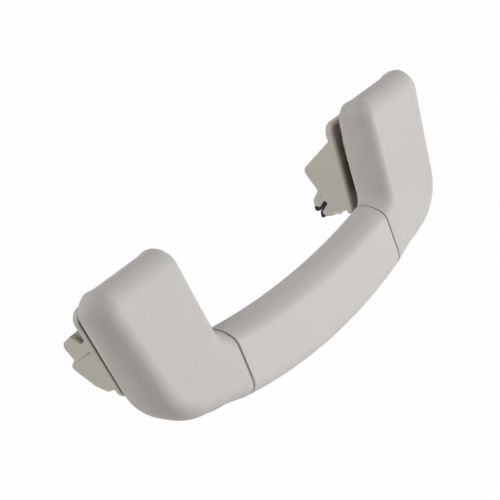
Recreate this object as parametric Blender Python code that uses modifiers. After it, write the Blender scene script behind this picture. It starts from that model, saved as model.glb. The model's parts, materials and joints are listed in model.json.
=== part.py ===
"""Roof grab handle for a car: a fold-down bar on two sprung and damped hinge brackets.

X runs along the bar, -Y faces the cabin, +Y goes into the roof rail, +Z is up.
The origin is midway between the two brackets, on the plane of their seats, level
with the hinge axis. Everything is in metres.
"""

import math

import bmesh
import bpy
from mathutils import Matrix, Vector

for old in list(bpy.data.objects):
    bpy.data.objects.remove(old, do_unlink=True)

# Hinge line and the space between roof seat and handle
FLANGE_DEPTH = 0.0033
LEG_GAP = 0.0060
HINGE_INSET = 0.0055
LEG_TOP = 0.0109

# Handle outline, seen from the cabin
GRIP_LENGTH = 0.1100
SEAM_GAP = 0.0005
SEAM_TO_LEG = 0.0041
LEG_SPLAY = 0.0064
FINGER_DEPTH = 0.0489
UPPER_ARCH = 0.0051
GRIP_HEIGHT = 0.0324
LOWER_ARCH = 0.0181
LEG_WIDTH = 0.0476
LEG_TAPER = 0.0142
LEG_HEIGHT = 0.0631
TOP_CORNER_RADIUS = 0.0089
BOTTOM_CORNER_RADIUS = 0.0292
INNER_CORNER_RADIUS = 0.0046

# Handle section, front to back
LEG_DEPTH = 0.0192
FRONT_TILT = 0.103
TILT_PIVOT_DROP = 0.0402
GRIP_THICKNESS = 0.0169
FRONT_RADIUS = 0.0108
FRONT_ROLL = 0.0096
TOP_RISE = 0.0011
TOP_RISE_RUN = 0.0300
BACK_RADIUS = 0.0052
BACK_DRAFT = 0.0009
DRAFT_RUN = 0.0045
SHAPE_CHANGE_LENGTH = 0.0120
RELIEF_DROP = 0.0011
RELIEF_INNER_MARGIN = 0.0058
RELIEF_OUTER_MARGIN = 0.0096
RELIEF_EDGE = 0.0035
RELIEF_RUN = 0.0090
BACK_EDGE_DROP = 0.0013
BACK_EDGE_RUN = 0.0100
BACK_CORNER_GROWTH = 0.0025

# Walls and fits
CAP_WALL = 0.0022
CORE_CLEARANCE = 0.0005
CORE_WALL = 0.0030
FIT_GAP = 0.0003
SLIDE_GAP = 0.0005

# Hinge stack along X, on the right-hand side
EAR_MARGIN = 0.0075
EAR_THICKNESS = 0.0030
EAR_SIDE_ROOM = 0.0306
LUG_THICKNESS = 0.0030
EYE_RADIUS = 0.0050
PIN_RADIUS = 0.0024
PIN_HEAD_RADIUS = 0.0038
PIN_HEAD_LENGTH = 0.0010
PIN_END = 0.0012
LUG_DROP = 0.0200
ARM_DROP = 0.0080
RING_THICKNESS = 0.0008
RING_RADIUS = 0.0040
NECK_ANGLE = 50.0
NECK_HEIGHT = 0.0110

# Return spring on the left, rotary damper on the right
SLEEVE_RADIUS = 0.0034
SPRING_WIRE = 0.0013
SPRING_RADIUS = 0.0049
SPRING_END_ROOM = 0.0055
SPRING_LEG_ANGLE = 50.0
SPRING_PITCH_GAP = 0.0005
SPRING_END = 0.0025
DAMPER_RADIUS = 0.0064
DAMPER_END_ROOM = 0.0060
DAMPER_COVER = 0.0013
DAMPER_BORE = 0.0041
ROTOR_RADIUS = 0.0037
TANG_WIDTH = 0.0024
TANG_THICKNESS = 0.0018
TANG_REACH = 0.0058
FORK_WALL = 0.0016
FOOT_WIDTH = 0.0036
FOOT_HEIGHT = 0.0040

# Bracket flange, seen from the cabin
FLANGE_OVERHANG = 0.0078
FLANGE_SIDE_ROOM = 0.0062
FLANGE_TAPER = 0.0105
FLANGE_TOP = 0.0008
FLANGE_HEIGHT = 0.0451
FLANGE_CORNER = 0.0045
FLANGE_LOW_CORNER = 0.0030
FLANGE_LOW_OUTER_CORNER = 0.0075
FLANGE_RIM = 0.0017
FLANGE_FLOOR = 0.0015

# Bracket box, behind the flange
BOX_SIDE_MARGIN = 0.0010
BOX_OUTER_MARGIN = 0.0018
BOX_TOP = -0.0064
NOSE_REACH = 0.0201
NOSE_DROP = 0.0218
NOTCH_DEPTH = 0.0056
NOTCH_DROP = 0.0105
LIP_DROP = 0.0183
LIP_SPAN = 0.0051
BOX_LOW = -0.0440
BOX_CORNER = 0.0022
CHAMBER_WALL = 0.0020
CHAMBER_LOW = -0.0290
NEAR_CHAMBER_LOW = -0.0405
CHAMBER_FOOT = 0.0060
THIN_WALL = 0.0012
OUTER_WALL = 0.0052
WEB_DROP = 0.0150
WEB_THICKNESS = 0.0008
FLOOR_STRIP = 0.0048
POCKET_START = 0.0004
POCKET_END = 0.0099
POCKET_LOW = 0.0126
POCKET_LEAN = 0.0036
POCKET_DEPTH = 0.0050
RIB_WIDTH = 0.0030
RIB_PROUD = 0.0004

# Retaining clip in the box's lower end
CLIP_THICKNESS = 0.0007
CLIP_SLOT = 0.0023
CLIP_SLOT_DEPTH = 0.0074
CLIP_WIDTH = 0.0160
MOUTH_SET = 0.0003
HEM_REACH = 0.0035
HEM_DROP = 0.0017

# Stop buffer and cap screw
BUFFER_DROP = 0.0360
BUFFER_RADIUS = 0.0035
BUFFER_STEM = 0.0018
BUFFER_STEM_LENGTH = 0.0035
BUFFER_REST = 0.0005
STOP_RIB = 0.0025
SCREW_DROP = 0.0215
SCREW_BOSS_RADIUS = 0.0031
SCREW_RADIUS = 0.0011
SCREW_HEAD_RADIUS = 0.0047
SCREW_HEAD_LENGTH = 0.0019
SOCKET_RADIUS = 0.0016

# Worked out from the sizes above
SEAM = GRIP_LENGTH / 2
OPENING_HALF = SEAM + SEAM_TO_LEG
OPENING_HALF_TOP = OPENING_HALF + LEG_SPLAY
LEG_OUTER_TOP = OPENING_HALF_TOP + LEG_WIDTH
LEG_OUTER_LOW = LEG_OUTER_TOP - LEG_TAPER
RELIEF_INNER = OPENING_HALF_TOP + RELIEF_INNER_MARGIN
RELIEF_OUTER = LEG_OUTER_TOP - RELIEF_OUTER_MARGIN
EAR_INNER = OPENING_HALF_TOP + EAR_MARGIN
EAR_SPACING = LEG_WIDTH - EAR_SIDE_ROOM
DAMPER_LENGTH = EAR_SPACING - DAMPER_END_ROOM
SPRING_TURNS = int((EAR_SPACING - SPRING_END_ROOM) / (SPRING_WIRE + SPRING_PITCH_GAP))
FLANGE_WIDTH = LEG_WIDTH - FLANGE_SIDE_ROOM
LEG_BACK = -(FLANGE_DEPTH + LEG_GAP)
HINGE_Y = LEG_BACK - HINGE_INSET
GRIP_TOP = LEG_TOP - FINGER_DEPTH
GRIP_BOTTOM = GRIP_TOP - GRIP_HEIGHT
CORE_INSET = CAP_WALL + CORE_CLEARANCE
EAR_OUTER = EAR_INNER + EAR_THICKNESS + EAR_SPACING
BUFFER_X = EAR_INNER + EAR_THICKNESS + EAR_SPACING / 2
FLANGE_INNER = EAR_INNER - FLANGE_OVERHANG
FLANGE_OUTER_TOP = FLANGE_INNER + FLANGE_WIDTH
FLANGE_OUTER_LOW = FLANGE_OUTER_TOP - FLANGE_TAPER
BOX_INNER = FLANGE_INNER + BOX_SIDE_MARGIN
BOX_MIDDLE = BOX_INNER + CLIP_WIDTH + 3 * FIT_GAP
BORE_RADIUS = PIN_RADIUS + FIT_GAP
ROUND_STEPS = 28
CUT_MARGIN = 0.0010

# Collections
PARTS = bpy.data.collections.new("roof_grab_handle")
CUTTERS = bpy.data.collections.new("cutters")
for collection in (PARTS, CUTTERS):
    bpy.context.scene.collection.children.link(collection)


def material(name, colour, roughness, metallic=0.0):
    made = bpy.data.materials.new(name)
    made.use_nodes = True
    shader = made.node_tree.nodes["Principled BSDF"]
    shader.inputs["Base Color"].default_value = (*colour, 1.0)
    shader.inputs["Roughness"].default_value = roughness
    shader.inputs["Metallic"].default_value = metallic
    made.diffuse_color = (*colour, 1.0)
    return made


GRIP_PLASTIC = material("grip_plastic", (0.655, 0.624, 0.591), 0.55)
CAP_PLASTIC = material("cap_plastic", (0.610, 0.584, 0.558), 0.55)
BRACKET_PLASTIC = material("bracket_plastic", (0.618, 0.586, 0.535), 0.60)
DARK_STEEL = material("dark_spring_steel", (0.030, 0.030, 0.032), 0.40, 0.8)
BRIGHT_STEEL = material("bright_steel", (0.560, 0.560, 0.570), 0.32, 1.0)
DARK_PLASTIC = material("dark_plastic", (0.035, 0.035, 0.037), 0.50)
PALE_PLASTIC = material("pale_plastic", (0.700, 0.690, 0.650), 0.45)
RUBBER = material("rubber", (0.028, 0.028, 0.028), 0.85)


def place(name, mesh, finish, collection=PARTS):
    """A named object for a mesh, in a collection, with its own material."""
    mesh.name = name
    mesh.materials.clear()
    mesh.materials.append(finish)
    made = bpy.data.objects.new(name, mesh)
    collection.objects.link(made)
    return made


def from_bmesh(shape):
    bmesh.ops.recalc_face_normals(shape, faces=shape.faces)
    mesh = bpy.data.meshes.new("shape")
    shape.to_mesh(mesh)
    shape.free()
    return mesh


def smooth(made, angle=35.0):
    made.data.shade_smooth()
    made.data.set_sharp_from_angle(angle=math.radians(angle))


def boolean(target, cutter, operation="DIFFERENCE"):
    """Cuts or joins a mesh object with another, and puts the other with the cutters."""
    step = target.modifiers.new(operation.lower(), "BOOLEAN")
    step.operation = operation
    step.object = cutter
    step.solver = "EXACT"
    bpy.context.view_layer.update()
    evaluated = target.evaluated_get(bpy.context.evaluated_depsgraph_get())
    mesh = bpy.data.meshes.new_from_object(evaluated)
    target.modifiers.clear()
    old = target.data
    target.data = mesh
    bpy.data.meshes.remove(old)
    bpy.data.objects.remove(cutter, do_unlink=True)


def mirrored(source, name):
    """The same piece on the other side of the YZ plane."""
    mesh = source.data.copy()
    mesh.transform(Matrix.Scale(-1.0, 4, Vector((1.0, 0.0, 0.0))))
    mesh.flip_normals()
    return place(name, mesh, source.data.materials[0])


# Outline tools


def arc_points(centre, radius, start, end, steps):
    """Points on an arc, from angle start to angle end in degrees."""
    angles = [math.radians(start + (end - start) * i / steps) for i in range(steps + 1)]
    return [Vector((centre[0] + radius * math.cos(a), centre[1] + radius * math.sin(a))) for a in angles]


def round_corner(before, corner, after, radius, steps):
    """Points that round one corner of a flat outline."""
    before, corner, after = Vector(before), Vector(corner), Vector(after)
    to_before = (before - corner).normalized()
    to_after = (after - corner).normalized()
    half = math.acos(max(-1.0, min(1.0, to_before.dot(to_after)))) / 2
    run = radius / math.tan(half)
    centre = corner + (to_before + to_after).normalized() * (radius / math.sin(half))
    start = corner + to_before * run - centre
    end = corner + to_after * run - centre
    turn = math.atan2(start.x * end.y - start.y * end.x, start.dot(end))
    first = math.atan2(start.y, start.x)
    angles = [first + turn * i / steps for i in range(steps + 1)]
    return [centre + Vector((math.cos(a), math.sin(a))) * radius for a in angles]


def rounded(corners, steps=4):
    """A closed outline from (u, v, radius) corners."""
    points = []
    for i, (u, v, radius) in enumerate(corners):
        if radius > 0:
            after = corners[(i + 1) % len(corners)]
            points += round_corner(corners[i - 1][:2], (u, v), after[:2], radius, steps)
        else:
            points.append(Vector((u, v)))
    return points


def meet(p, d, q, e):
    """Where the line through p along d meets the line through q along e."""
    cross = d.x * e.y - d.y * e.x
    t = ((q.x - p.x) * e.y - (q.y - p.y) * e.x) / cross
    return p + d * t


# Solid tools


def flat_piece(name, outline, thickness, matrix, finish, collection=PARTS):
    """A filled 2D curve with thickness, made a mesh. The outline's plane is the matrix's XY."""
    curve = bpy.data.curves.new(name, "CURVE")
    curve.dimensions = "2D"
    curve.fill_mode = "BOTH"
    curve.extrude = thickness / 2
    spline = curve.splines.new("POLY")
    spline.points.add(len(outline) - 1)
    for point, (u, v) in zip(spline.points, outline):
        point.co = (u, v, 0.0, 1.0)
    spline.use_cyclic_u = True
    made = bpy.data.objects.new(name, curve)
    bpy.context.scene.collection.objects.link(made)
    bpy.context.view_layer.update()
    evaluated = made.evaluated_get(bpy.context.evaluated_depsgraph_get())
    mesh = bpy.data.meshes.new_from_object(evaluated)
    bpy.data.objects.remove(made, do_unlink=True)
    shape = bmesh.new()
    shape.from_mesh(mesh)
    bpy.data.meshes.remove(mesh)
    bmesh.ops.remove_doubles(shape, verts=shape.verts, dist=0.000005)
    bmesh.ops.transform(shape, matrix=matrix, verts=shape.verts)
    return place(name, from_bmesh(shape), finish, collection)


def across(middle_x):
    """Matrix that stands a (y, z) outline upright, with its thickness along X."""
    turn = Matrix(((0, 0, 1, 0), (1, 0, 0, 0), (0, 1, 0, 0), (0, 0, 0, 1)))
    return Matrix.Translation((middle_x, 0.0, 0.0)) @ turn


def facing(middle_y):
    """Matrix that stands an (x, z) outline upright, with its thickness along Y."""
    turn = Matrix(((1, 0, 0, 0), (0, 0, -1, 0), (0, 1, 0, 0), (0, 0, 0, 1)))
    return Matrix.Translation((0.0, middle_y, 0.0)) @ turn


def slab(name, outline, low, high, finish=BRACKET_PLASTIC, collection=CUTTERS):
    """A (y, z) outline extruded from x = low to x = high."""
    return flat_piece(name, outline, high - low, across((low + high) / 2), finish, collection)


def panel(name, outline, low, high, finish=BRACKET_PLASTIC, collection=CUTTERS):
    """An (x, z) outline extruded from y = low to y = high."""
    return flat_piece(name, outline, high - low, facing((low + high) / 2), finish, collection)


def loft(name, rings, finish, collection=PARTS):
    """A closed solid through rings with the same number of points, with flat ends."""
    shape = bmesh.new()
    loops = [[shape.verts.new(p) for p in ring] for ring in rings]
    for near, far in zip(loops, loops[1:]):
        for i in range(len(near)):
            j = (i + 1) % len(near)
            shape.faces.new((near[i], near[j], far[j], far[i]))
    bmesh.ops.triangulate(shape, faces=shape.faces, quad_method="SHORT_EDGE")
    shape.faces.new(loops[0])
    shape.faces.new(loops[-1])
    return place(name, from_bmesh(shape), finish, collection)


def rod(name, low, high, radius, finish, centre=(0.0, 0.0), collection=PARTS, steps=ROUND_STEPS):
    """A cylinder along X, centred on a (y, z) point."""
    shape = bmesh.new()
    bmesh.ops.create_cone(
        shape, cap_ends=True, segments=steps, radius1=radius, radius2=radius, depth=high - low
    )
    turn = Matrix.Rotation(math.radians(90), 4, "Y")
    matrix = Matrix.Translation(((low + high) / 2, centre[0], centre[1])) @ turn
    bmesh.ops.transform(shape, matrix=matrix, verts=shape.verts)
    return place(name, from_bmesh(shape), finish, collection)


def post(name, low, high, radius, x, z, finish, collection=PARTS, steps=ROUND_STEPS):
    """A cylinder along Y, centred on an (x, z) point."""
    shape = bmesh.new()
    bmesh.ops.create_cone(
        shape, cap_ends=True, segments=steps, radius1=radius, radius2=radius, depth=high - low
    )
    turn = Matrix.Rotation(math.radians(-90), 4, "X")
    matrix = Matrix.Translation((x, (low + high) / 2, z)) @ turn
    bmesh.ops.transform(shape, matrix=matrix, verts=shape.verts)
    return place(name, from_bmesh(shape), finish, collection)


def turned(name, profile, x, y, z, finish, along="X", steps=ROUND_STEPS):
    """A piece turned about an axis, from (distance along the axis, radius) corners."""
    mesh = bpy.data.meshes.new(name)
    shape = bmesh.new()
    points = [shape.verts.new((radius, 0.0, height)) for height, radius in reversed(profile)]
    for i in range(len(points) - 1):
        shape.edges.new((points[i], points[i + 1]))
    if profile[0][1] > 0 and profile[-1][1] > 0:
        shape.edges.new((points[-1], points[0]))
    shape.to_mesh(mesh)
    shape.free()
    made = bpy.data.objects.new(name, mesh)
    bpy.context.scene.collection.objects.link(made)
    screw = made.modifiers.new("turn", "SCREW")
    screw.steps = steps
    screw.render_steps = steps
    screw.use_merge_vertices = True
    screw.merge_threshold = 0.00001
    screw.use_normal_calculate = True
    bpy.context.view_layer.update()
    evaluated = made.evaluated_get(bpy.context.evaluated_depsgraph_get())
    turned_mesh = bpy.data.meshes.new_from_object(evaluated)
    bpy.data.objects.remove(made, do_unlink=True)
    shape = bmesh.new()
    shape.from_mesh(turned_mesh)
    bmesh.ops.remove_doubles(shape, verts=shape.verts, dist=0.000005)
    if along == "X":
        turn = Matrix.Rotation(math.radians(90), 4, "Y")
    else:
        turn = Matrix.Rotation(math.radians(-90), 4, "X")
    bmesh.ops.transform(shape, matrix=Matrix.Translation((x, y, z)) @ turn, verts=shape.verts)
    return place(name, from_bmesh(shape), finish)


# Handle form


def upper_edge(x):
    return GRIP_TOP + UPPER_ARCH * (x / OPENING_HALF) ** 2


def lower_edge(x):
    return GRIP_BOTTOM + LOWER_ARCH * (x / LEG_OUTER_LOW) ** 2


def upper_slope(x):
    return 2 * UPPER_ARCH * x / OPENING_HALF**2


def lower_slope(x):
    return 2 * LOWER_ARCH * x / LEG_OUTER_LOW**2


def front_face(z):
    """Y of the handle's front at height z. It leans a little, with its lower edge forward."""
    return LEG_BACK - LEG_DEPTH + FRONT_TILT * (z - (LEG_TOP - TILT_PIVOT_DROP))


def leg_outer(z):
    """|x| of the leg's outer side at height z."""
    return LEG_OUTER_TOP + (LEG_OUTER_LOW - LEG_OUTER_TOP) * (LEG_TOP - z) / LEG_HEIGHT


def leg_path(inset, top, start, growth=0.0):
    """(x, z) points round the right leg, from the seam's upper edge to its lower edge.

    The path lies inside the handle's outline by inset, and starts and ends at x = start.
    growth is added to the radius of the two top corners.
    """
    stretch = math.sqrt(1 + upper_slope(OPENING_HALF) ** 2)
    bar = Vector((1.0, upper_slope(OPENING_HALF)))
    bar_point = Vector((OPENING_HALF, upper_edge(OPENING_HALF) - inset * stretch))
    inner_low = Vector((OPENING_HALF, upper_edge(OPENING_HALF)))
    inner = (Vector((OPENING_HALF_TOP, LEG_TOP)) - inner_low).normalized()
    inner_point = inner_low + Vector((inner.y, -inner.x)) * inset
    outer_top = Vector((LEG_OUTER_TOP, LEG_TOP))
    outer = (Vector((LEG_OUTER_LOW, LEG_TOP - LEG_HEIGHT)) - outer_top).normalized()
    outer_point = outer_top + Vector((outer.y, -outer.x)) * inset
    level = Vector((1.0, 0.0))
    top_point = Vector((OPENING_HALF, top - inset))
    touch = LEG_OUTER_LOW - 0.9 * BOTTOM_CORNER_RADIUS
    low = Vector((1.0, lower_slope(touch)))
    low_point = Vector((touch, lower_edge(touch) + inset * math.sqrt(1 + low.y**2)))
    a = meet(bar_point, bar, inner_point, inner)
    b = meet(inner_point, inner, top_point, level)
    c = meet(top_point, level, outer_point, outer)
    d = meet(outer_point, outer, low_point, low)
    inner_arc = round_corner(a - bar * 0.05, a, b, INNER_CORNER_RADIUS + inset, 5)
    corner = max(TOP_CORNER_RADIUS + growth - inset, 0.0004)
    first_arc = round_corner(a, b, c, corner, 7)
    second_arc = round_corner(b, c, d, corner, 7)
    low_arc = round_corner(c, d, d - low * 0.05, max(BOTTOM_CORNER_RADIUS - inset, 0.0004), 9)
    path = []
    for i in range(2):
        x = start + (inner_arc[0].x - start) * i / 2
        path.append(Vector((x, upper_edge(x) - inset * math.sqrt(1 + upper_slope(x) ** 2))))
    path += inner_arc
    path += [inner_arc[-1].lerp(first_arc[0], i / 3) for i in (1, 2)]
    path += first_arc
    path += [first_arc[-1].lerp(second_arc[0], i / 8) for i in range(1, 8)]
    path += second_arc
    path += [second_arc[-1].lerp(low_arc[0], i / 3) for i in (1, 2)]
    path += low_arc
    for i in range(1, 5):
        x = low_arc[-1].x + (start - low_arc[-1].x) * i / 4
        path.append(Vector((x, lower_edge(x) + inset * math.sqrt(1 + lower_slope(x) ** 2))))
    return path


def ease(value):
    value = max(0.0, min(1.0, value))
    return value * value * (3 - 2 * value)


def relief(x, y, z):
    """How far the leg's top edge drops at the back, where it swings past the bracket."""
    edge = BACK_EDGE_DROP * ease((z - LEG_TOP) / BACK_EDGE_RUN + 1.0)
    across_leg = ease((x - RELIEF_INNER) / RELIEF_EDGE + 0.5) * ease((RELIEF_OUTER - x) / RELIEF_EDGE + 0.5)
    depth = max(0.0, 1 - max(0.0, LEG_BACK - y) / RELIEF_RUN)
    scoop = RELIEF_DROP * across_leg * ease((z - LEG_TOP) / CORE_INSET + 2.0)
    return (edge + scoop) * depth**1.5


def top_lift(y, z):
    """How far the leg's top rises from its back edge to its front."""
    share = max(0.0, min(1.0, (LEG_BACK - y) / LEG_DEPTH))
    return TOP_RISE * share * ease((z - LEG_TOP) / TOP_RISE_RUN + 1.0)


def section_levels(inset, steps, back_steps):
    """(inset on the grip, y from its front, inset on the leg, y of the leg's side) from back to front.

    On the leg y is measured from the leg's back where it is marked "back", and otherwise
    from the front face, as on the grip.
    """
    levels = []
    for i in range(back_steps):
        share = i / back_steps
        angle = math.radians(60 * (1 - share))
        grip_inset = inset + BACK_RADIUS * (1 - math.cos(angle))
        grip_y = GRIP_THICKNESS - BACK_RADIUS * (1 - math.sin(angle))
        leg_inset = inset + BACK_DRAFT * (1 - share) ** 2
        levels.append((grip_inset, grip_y, leg_inset, share * DRAFT_RUN, "back"))
    radius = FRONT_RADIUS - inset
    for i in range(steps + 1):
        angle = math.radians(90 * i / steps)
        level_inset = inset + radius * (1 - math.cos(angle))
        level_y = inset + (FRONT_ROLL - inset) * (1 - math.sin(angle))
        levels.append((level_inset, level_y, level_inset, level_y, "front"))
    return levels


def leg_rings(inset=0.0, steps=6, back_steps=3, back=0.0, top=LEG_TOP, start=SEAM):
    """Rings round the right leg, from back to front. back pushes the first ring backwards."""
    levels = section_levels(inset, steps, back_steps)
    base = leg_path(0.0, LEG_TOP, start)
    rings = []
    for k, (grip_inset, grip_y, leg_inset, leg_y, end) in enumerate(levels):
        grip_path = leg_path(grip_inset, top, start)
        growth = BACK_CORNER_GROWTH * (1 - leg_y / DRAFT_RUN) if end == "back" else 0.0
        leg_side = leg_path(leg_inset, top, start, growth)
        push = back if k == 0 else 0.0
        ring = []
        for guide, g, l in zip(base, grip_path, leg_side):
            weight = ease((guide.x - SEAM) / SHAPE_CHANGE_LENGTH)
            point = g.lerp(l, weight)
            bar_y = front_face(point.y) + grip_y
            side_y = LEG_BACK - leg_y if end == "back" else front_face(point.y) + leg_y
            y = bar_y + (side_y - bar_y) * weight + push
            lift = top_lift(y, point.y) * weight - relief(guide.x, y, guide.y)
            ring.append(Vector((point.x, y, point.y + lift)))
        rings.append(ring)
    return rings


def grip_section(x):
    """The bar's closed section at x, with the same edges as the end caps have at the seam."""
    levels = section_levels(0.0, 6, 3)
    closing = (BACK_RADIUS, GRIP_THICKNESS, 0.0, 0.0, "back")
    over = math.sqrt(1 + upper_slope(x) ** 2)
    under = math.sqrt(1 + lower_slope(x) ** 2)
    top_side = []
    low_side = []
    for grip_inset, grip_y, *_ in [closing, *levels]:
        z = upper_edge(x) - grip_inset * over
        top_side.append(Vector((x, front_face(z) + grip_y, z)))
        z = lower_edge(x) + grip_inset * under
        low_side.append(Vector((x, front_face(z) + grip_y, z)))
    return top_side + low_side[::-1]


# Handle pieces


def end_cap(name):
    """L-shaped cover over one leg: an open-backed shell that ends at the seam."""
    start = SEAM + SEAM_GAP
    cap = loft(name, leg_rings(start=start), CAP_PLASTIC)
    hollow = leg_rings(inset=CAP_WALL, steps=4, back=0.01, start=SEAM - 0.004)
    boolean(cap, loft("cap_hollow", hollow, CAP_PLASTIC, CUTTERS))
    wall_back = front_face(screw_z()) + CAP_WALL
    plate_back = front_face(screw_z()) + CORE_INSET + CORE_WALL
    boss = post(
        "screw_boss", wall_back - 0.0008, plate_back - 0.0001, SCREW_BOSS_RADIUS, BUFFER_X, screw_z(),
        CAP_PLASTIC, CUTTERS,
    )
    boolean(cap, boss, "UNION")
    hole = post(
        "screw_hole", wall_back - 0.0010, plate_back + 0.001, SCREW_RADIUS + FIT_GAP, BUFFER_X, screw_z(),
        CAP_PLASTIC, CUTTERS, 16,
    )
    boolean(cap, hole)
    smooth(cap)
    return cap


def screw_z():
    return -SCREW_DROP


def lug_outline():
    """(y, z) outline of one hinge lug, from the arm's front plate to the eye."""
    front = front_face(-LUG_DROP) + CORE_INSET + CORE_WALL / 3
    eye = arc_points((HINGE_Y, 0.0), EYE_RADIUS, -25, 150, 12)
    foot = Vector((HINGE_Y + PIN_RADIUS, -LUG_DROP))
    return [*eye, Vector((front, -EYE_RADIUS)), Vector((front, -LUG_DROP)), foot]


def arm_hollow():
    """The arm's hollow: everything inside its walls, open at the back and at the top."""
    inset = CORE_INSET + CORE_WALL
    rings = leg_rings(inset=inset, steps=3, back=0.01, start=SEAM + SEAM_GAP)
    return loft("arm_hollow", rings, GRIP_PLASTIC, CUTTERS)


def inside_cap(made):
    """Trims a rib or lug to the room inside the end cap."""
    room = leg_rings(inset=CORE_INSET + CORE_WALL / 4, steps=4, back=0.012, start=SEAM)
    boolean(made, loft("room", room, GRIP_PLASTIC, CUTTERS), "INTERSECT")
    return made


def arm():
    """The part of the bar that runs up inside one leg: a ribbed channel with two hinge lugs."""
    arm_top = CORE_INSET - ARM_DROP
    rings = leg_rings(inset=CORE_INSET, steps=3, back=-0.0015, top=arm_top, start=SEAM - 0.003)
    made = loft("arm", rings, GRIP_PLASTIC, CUTTERS)
    boolean(made, arm_hollow())
    plate = front_face(-BUFFER_DROP) + CORE_INSET + 0.0010
    outer = leg_outer(-BUFFER_DROP - STOP_RIB) - CORE_INSET - CORE_WALL / 2
    stop = [
        (OPENING_HALF_TOP + 0.002, -BUFFER_DROP - STOP_RIB / 2),
        (outer, -BUFFER_DROP - STOP_RIB / 2),
        (outer, -BUFFER_DROP + STOP_RIB / 2),
        (OPENING_HALF_TOP + 0.002, -BUFFER_DROP + STOP_RIB / 2),
    ]
    rib = panel("stop_rib", stop, plate - CORE_WALL / 2, LEG_BACK - BUFFER_REST, GRIP_PLASTIC)
    boolean(made, inside_cap(rib), "UNION")
    for low in (EAR_INNER - SLIDE_GAP - LUG_THICKNESS, EAR_OUTER + EAR_THICKNESS + SLIDE_GAP):
        lug = slab("lug", lug_outline(), low, low + LUG_THICKNESS, GRIP_PLASTIC)
        boolean(made, inside_cap(lug), "UNION")
    hole = post(
        "boss_hole", plate - 0.01, plate + 0.008, SCREW_BOSS_RADIUS + FIT_GAP, BUFFER_X, screw_z(),
        GRIP_PLASTIC, CUTTERS,
    )
    boolean(made, hole)
    line = (HINGE_Y, 0.0)
    bore = rod("lug_bore", EAR_INNER - 0.01, EAR_OUTER + 0.012, BORE_RADIUS, GRIP_PLASTIC, line, CUTTERS)
    boolean(made, bore)
    return made


def fork():
    """Forked lug on the right arm that turns the damper's tang."""
    low, high = tang_span()
    front = front_face(-LUG_DROP) + CORE_INSET + CORE_WALL / 2
    back = HINGE_Y - ROTOR_RADIUS - 2 * FIT_GAP
    slot = TANG_WIDTH / 2 + FIT_GAP
    tip = tang_tip() - FIT_GAP
    outline = [
        Vector((front, -LUG_DROP)),
        Vector((back, -2 * ARM_DROP)),
        Vector((back, -slot)),
        Vector((tip, -slot)),
        Vector((tip, slot)),
        Vector((back, slot)),
        Vector((back, slot + FORK_WALL)),
        Vector((front, slot + FORK_WALL)),
    ]
    return inside_cap(slab("fork", outline, low, high, GRIP_PLASTIC))


def tang_span():
    high = EAR_OUTER - SLIDE_GAP
    return high - TANG_THICKNESS, high


def grip_core():
    """The load-bearing bar: the visible grip, and the arms that run up inside the legs."""
    count = 16
    half = SEAM
    sections = [grip_section(-half + 2 * half * i / count) for i in range(count + 1)]
    core = loft("grip_core", sections, GRIP_PLASTIC)
    right = arm()
    left_mesh = right.data.copy()
    left_mesh.transform(Matrix.Scale(-1.0, 4, Vector((1.0, 0.0, 0.0))))
    left_mesh.flip_normals()
    left = place("left_arm", left_mesh, GRIP_PLASTIC, CUTTERS)
    boolean(right, fork(), "UNION")
    boolean(core, right, "UNION")
    boolean(core, left, "UNION")
    smooth(core)
    return core


# Hinge pieces


def neck_outline(radius, height):
    """(y, z) outline of a plate that runs from an eye on the pin, down and back, into the bracket.

    It leaves the eye low down, so that the leg's top edge can swing in behind the pin.
    """
    back = 0.0010
    angle = math.radians(-NECK_ANGLE)
    knee = 0.0120
    upper = Vector((HINGE_Y + knee * math.cos(angle), knee * math.sin(angle)))
    eye = arc_points((HINGE_Y, 0.0), radius, -NECK_ANGLE + 12, 200, 14)
    low_front = Vector((HINGE_Y - radius * 0.55, upper.y - height * 0.45))
    return [
        *eye,
        low_front,
        Vector((HINGE_Y + knee * 0.45, upper.y - height)),
        Vector((back, upper.y - height)),
        Vector((back, upper.y)),
        upper,
    ]


def flange_outline(inset):
    """(x, z) outline of the bracket's flange, inset inwards."""
    low = FLANGE_TOP - FLANGE_HEIGHT
    corners = [
        (FLANGE_INNER + inset, FLANGE_TOP - inset, FLANGE_CORNER - inset),
        (FLANGE_INNER + inset, low + inset, FLANGE_LOW_CORNER - inset),
        (flange_outer(low) - inset, low + inset, FLANGE_LOW_OUTER_CORNER - inset),
        (flange_outer(FLANGE_TOP) - inset, FLANGE_TOP - inset, FLANGE_CORNER - inset),
    ]
    return rounded(corners, 6)


def flange_outer(z):
    """|x| of the flange's outer edge at height z."""
    share = (FLANGE_TOP - z) / FLANGE_HEIGHT
    return FLANGE_OUTER_TOP + (FLANGE_OUTER_LOW - FLANGE_OUTER_TOP) * share


def lips():
    """(y, z) of the outer corners of the two lips beside the clip slot."""
    lip_a = Vector((NOSE_REACH - 0.0010, -NOSE_DROP - LIP_DROP))
    return lip_a, lip_a - Vector((LIP_SPAN, LIP_SPAN + 0.0004))


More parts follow.
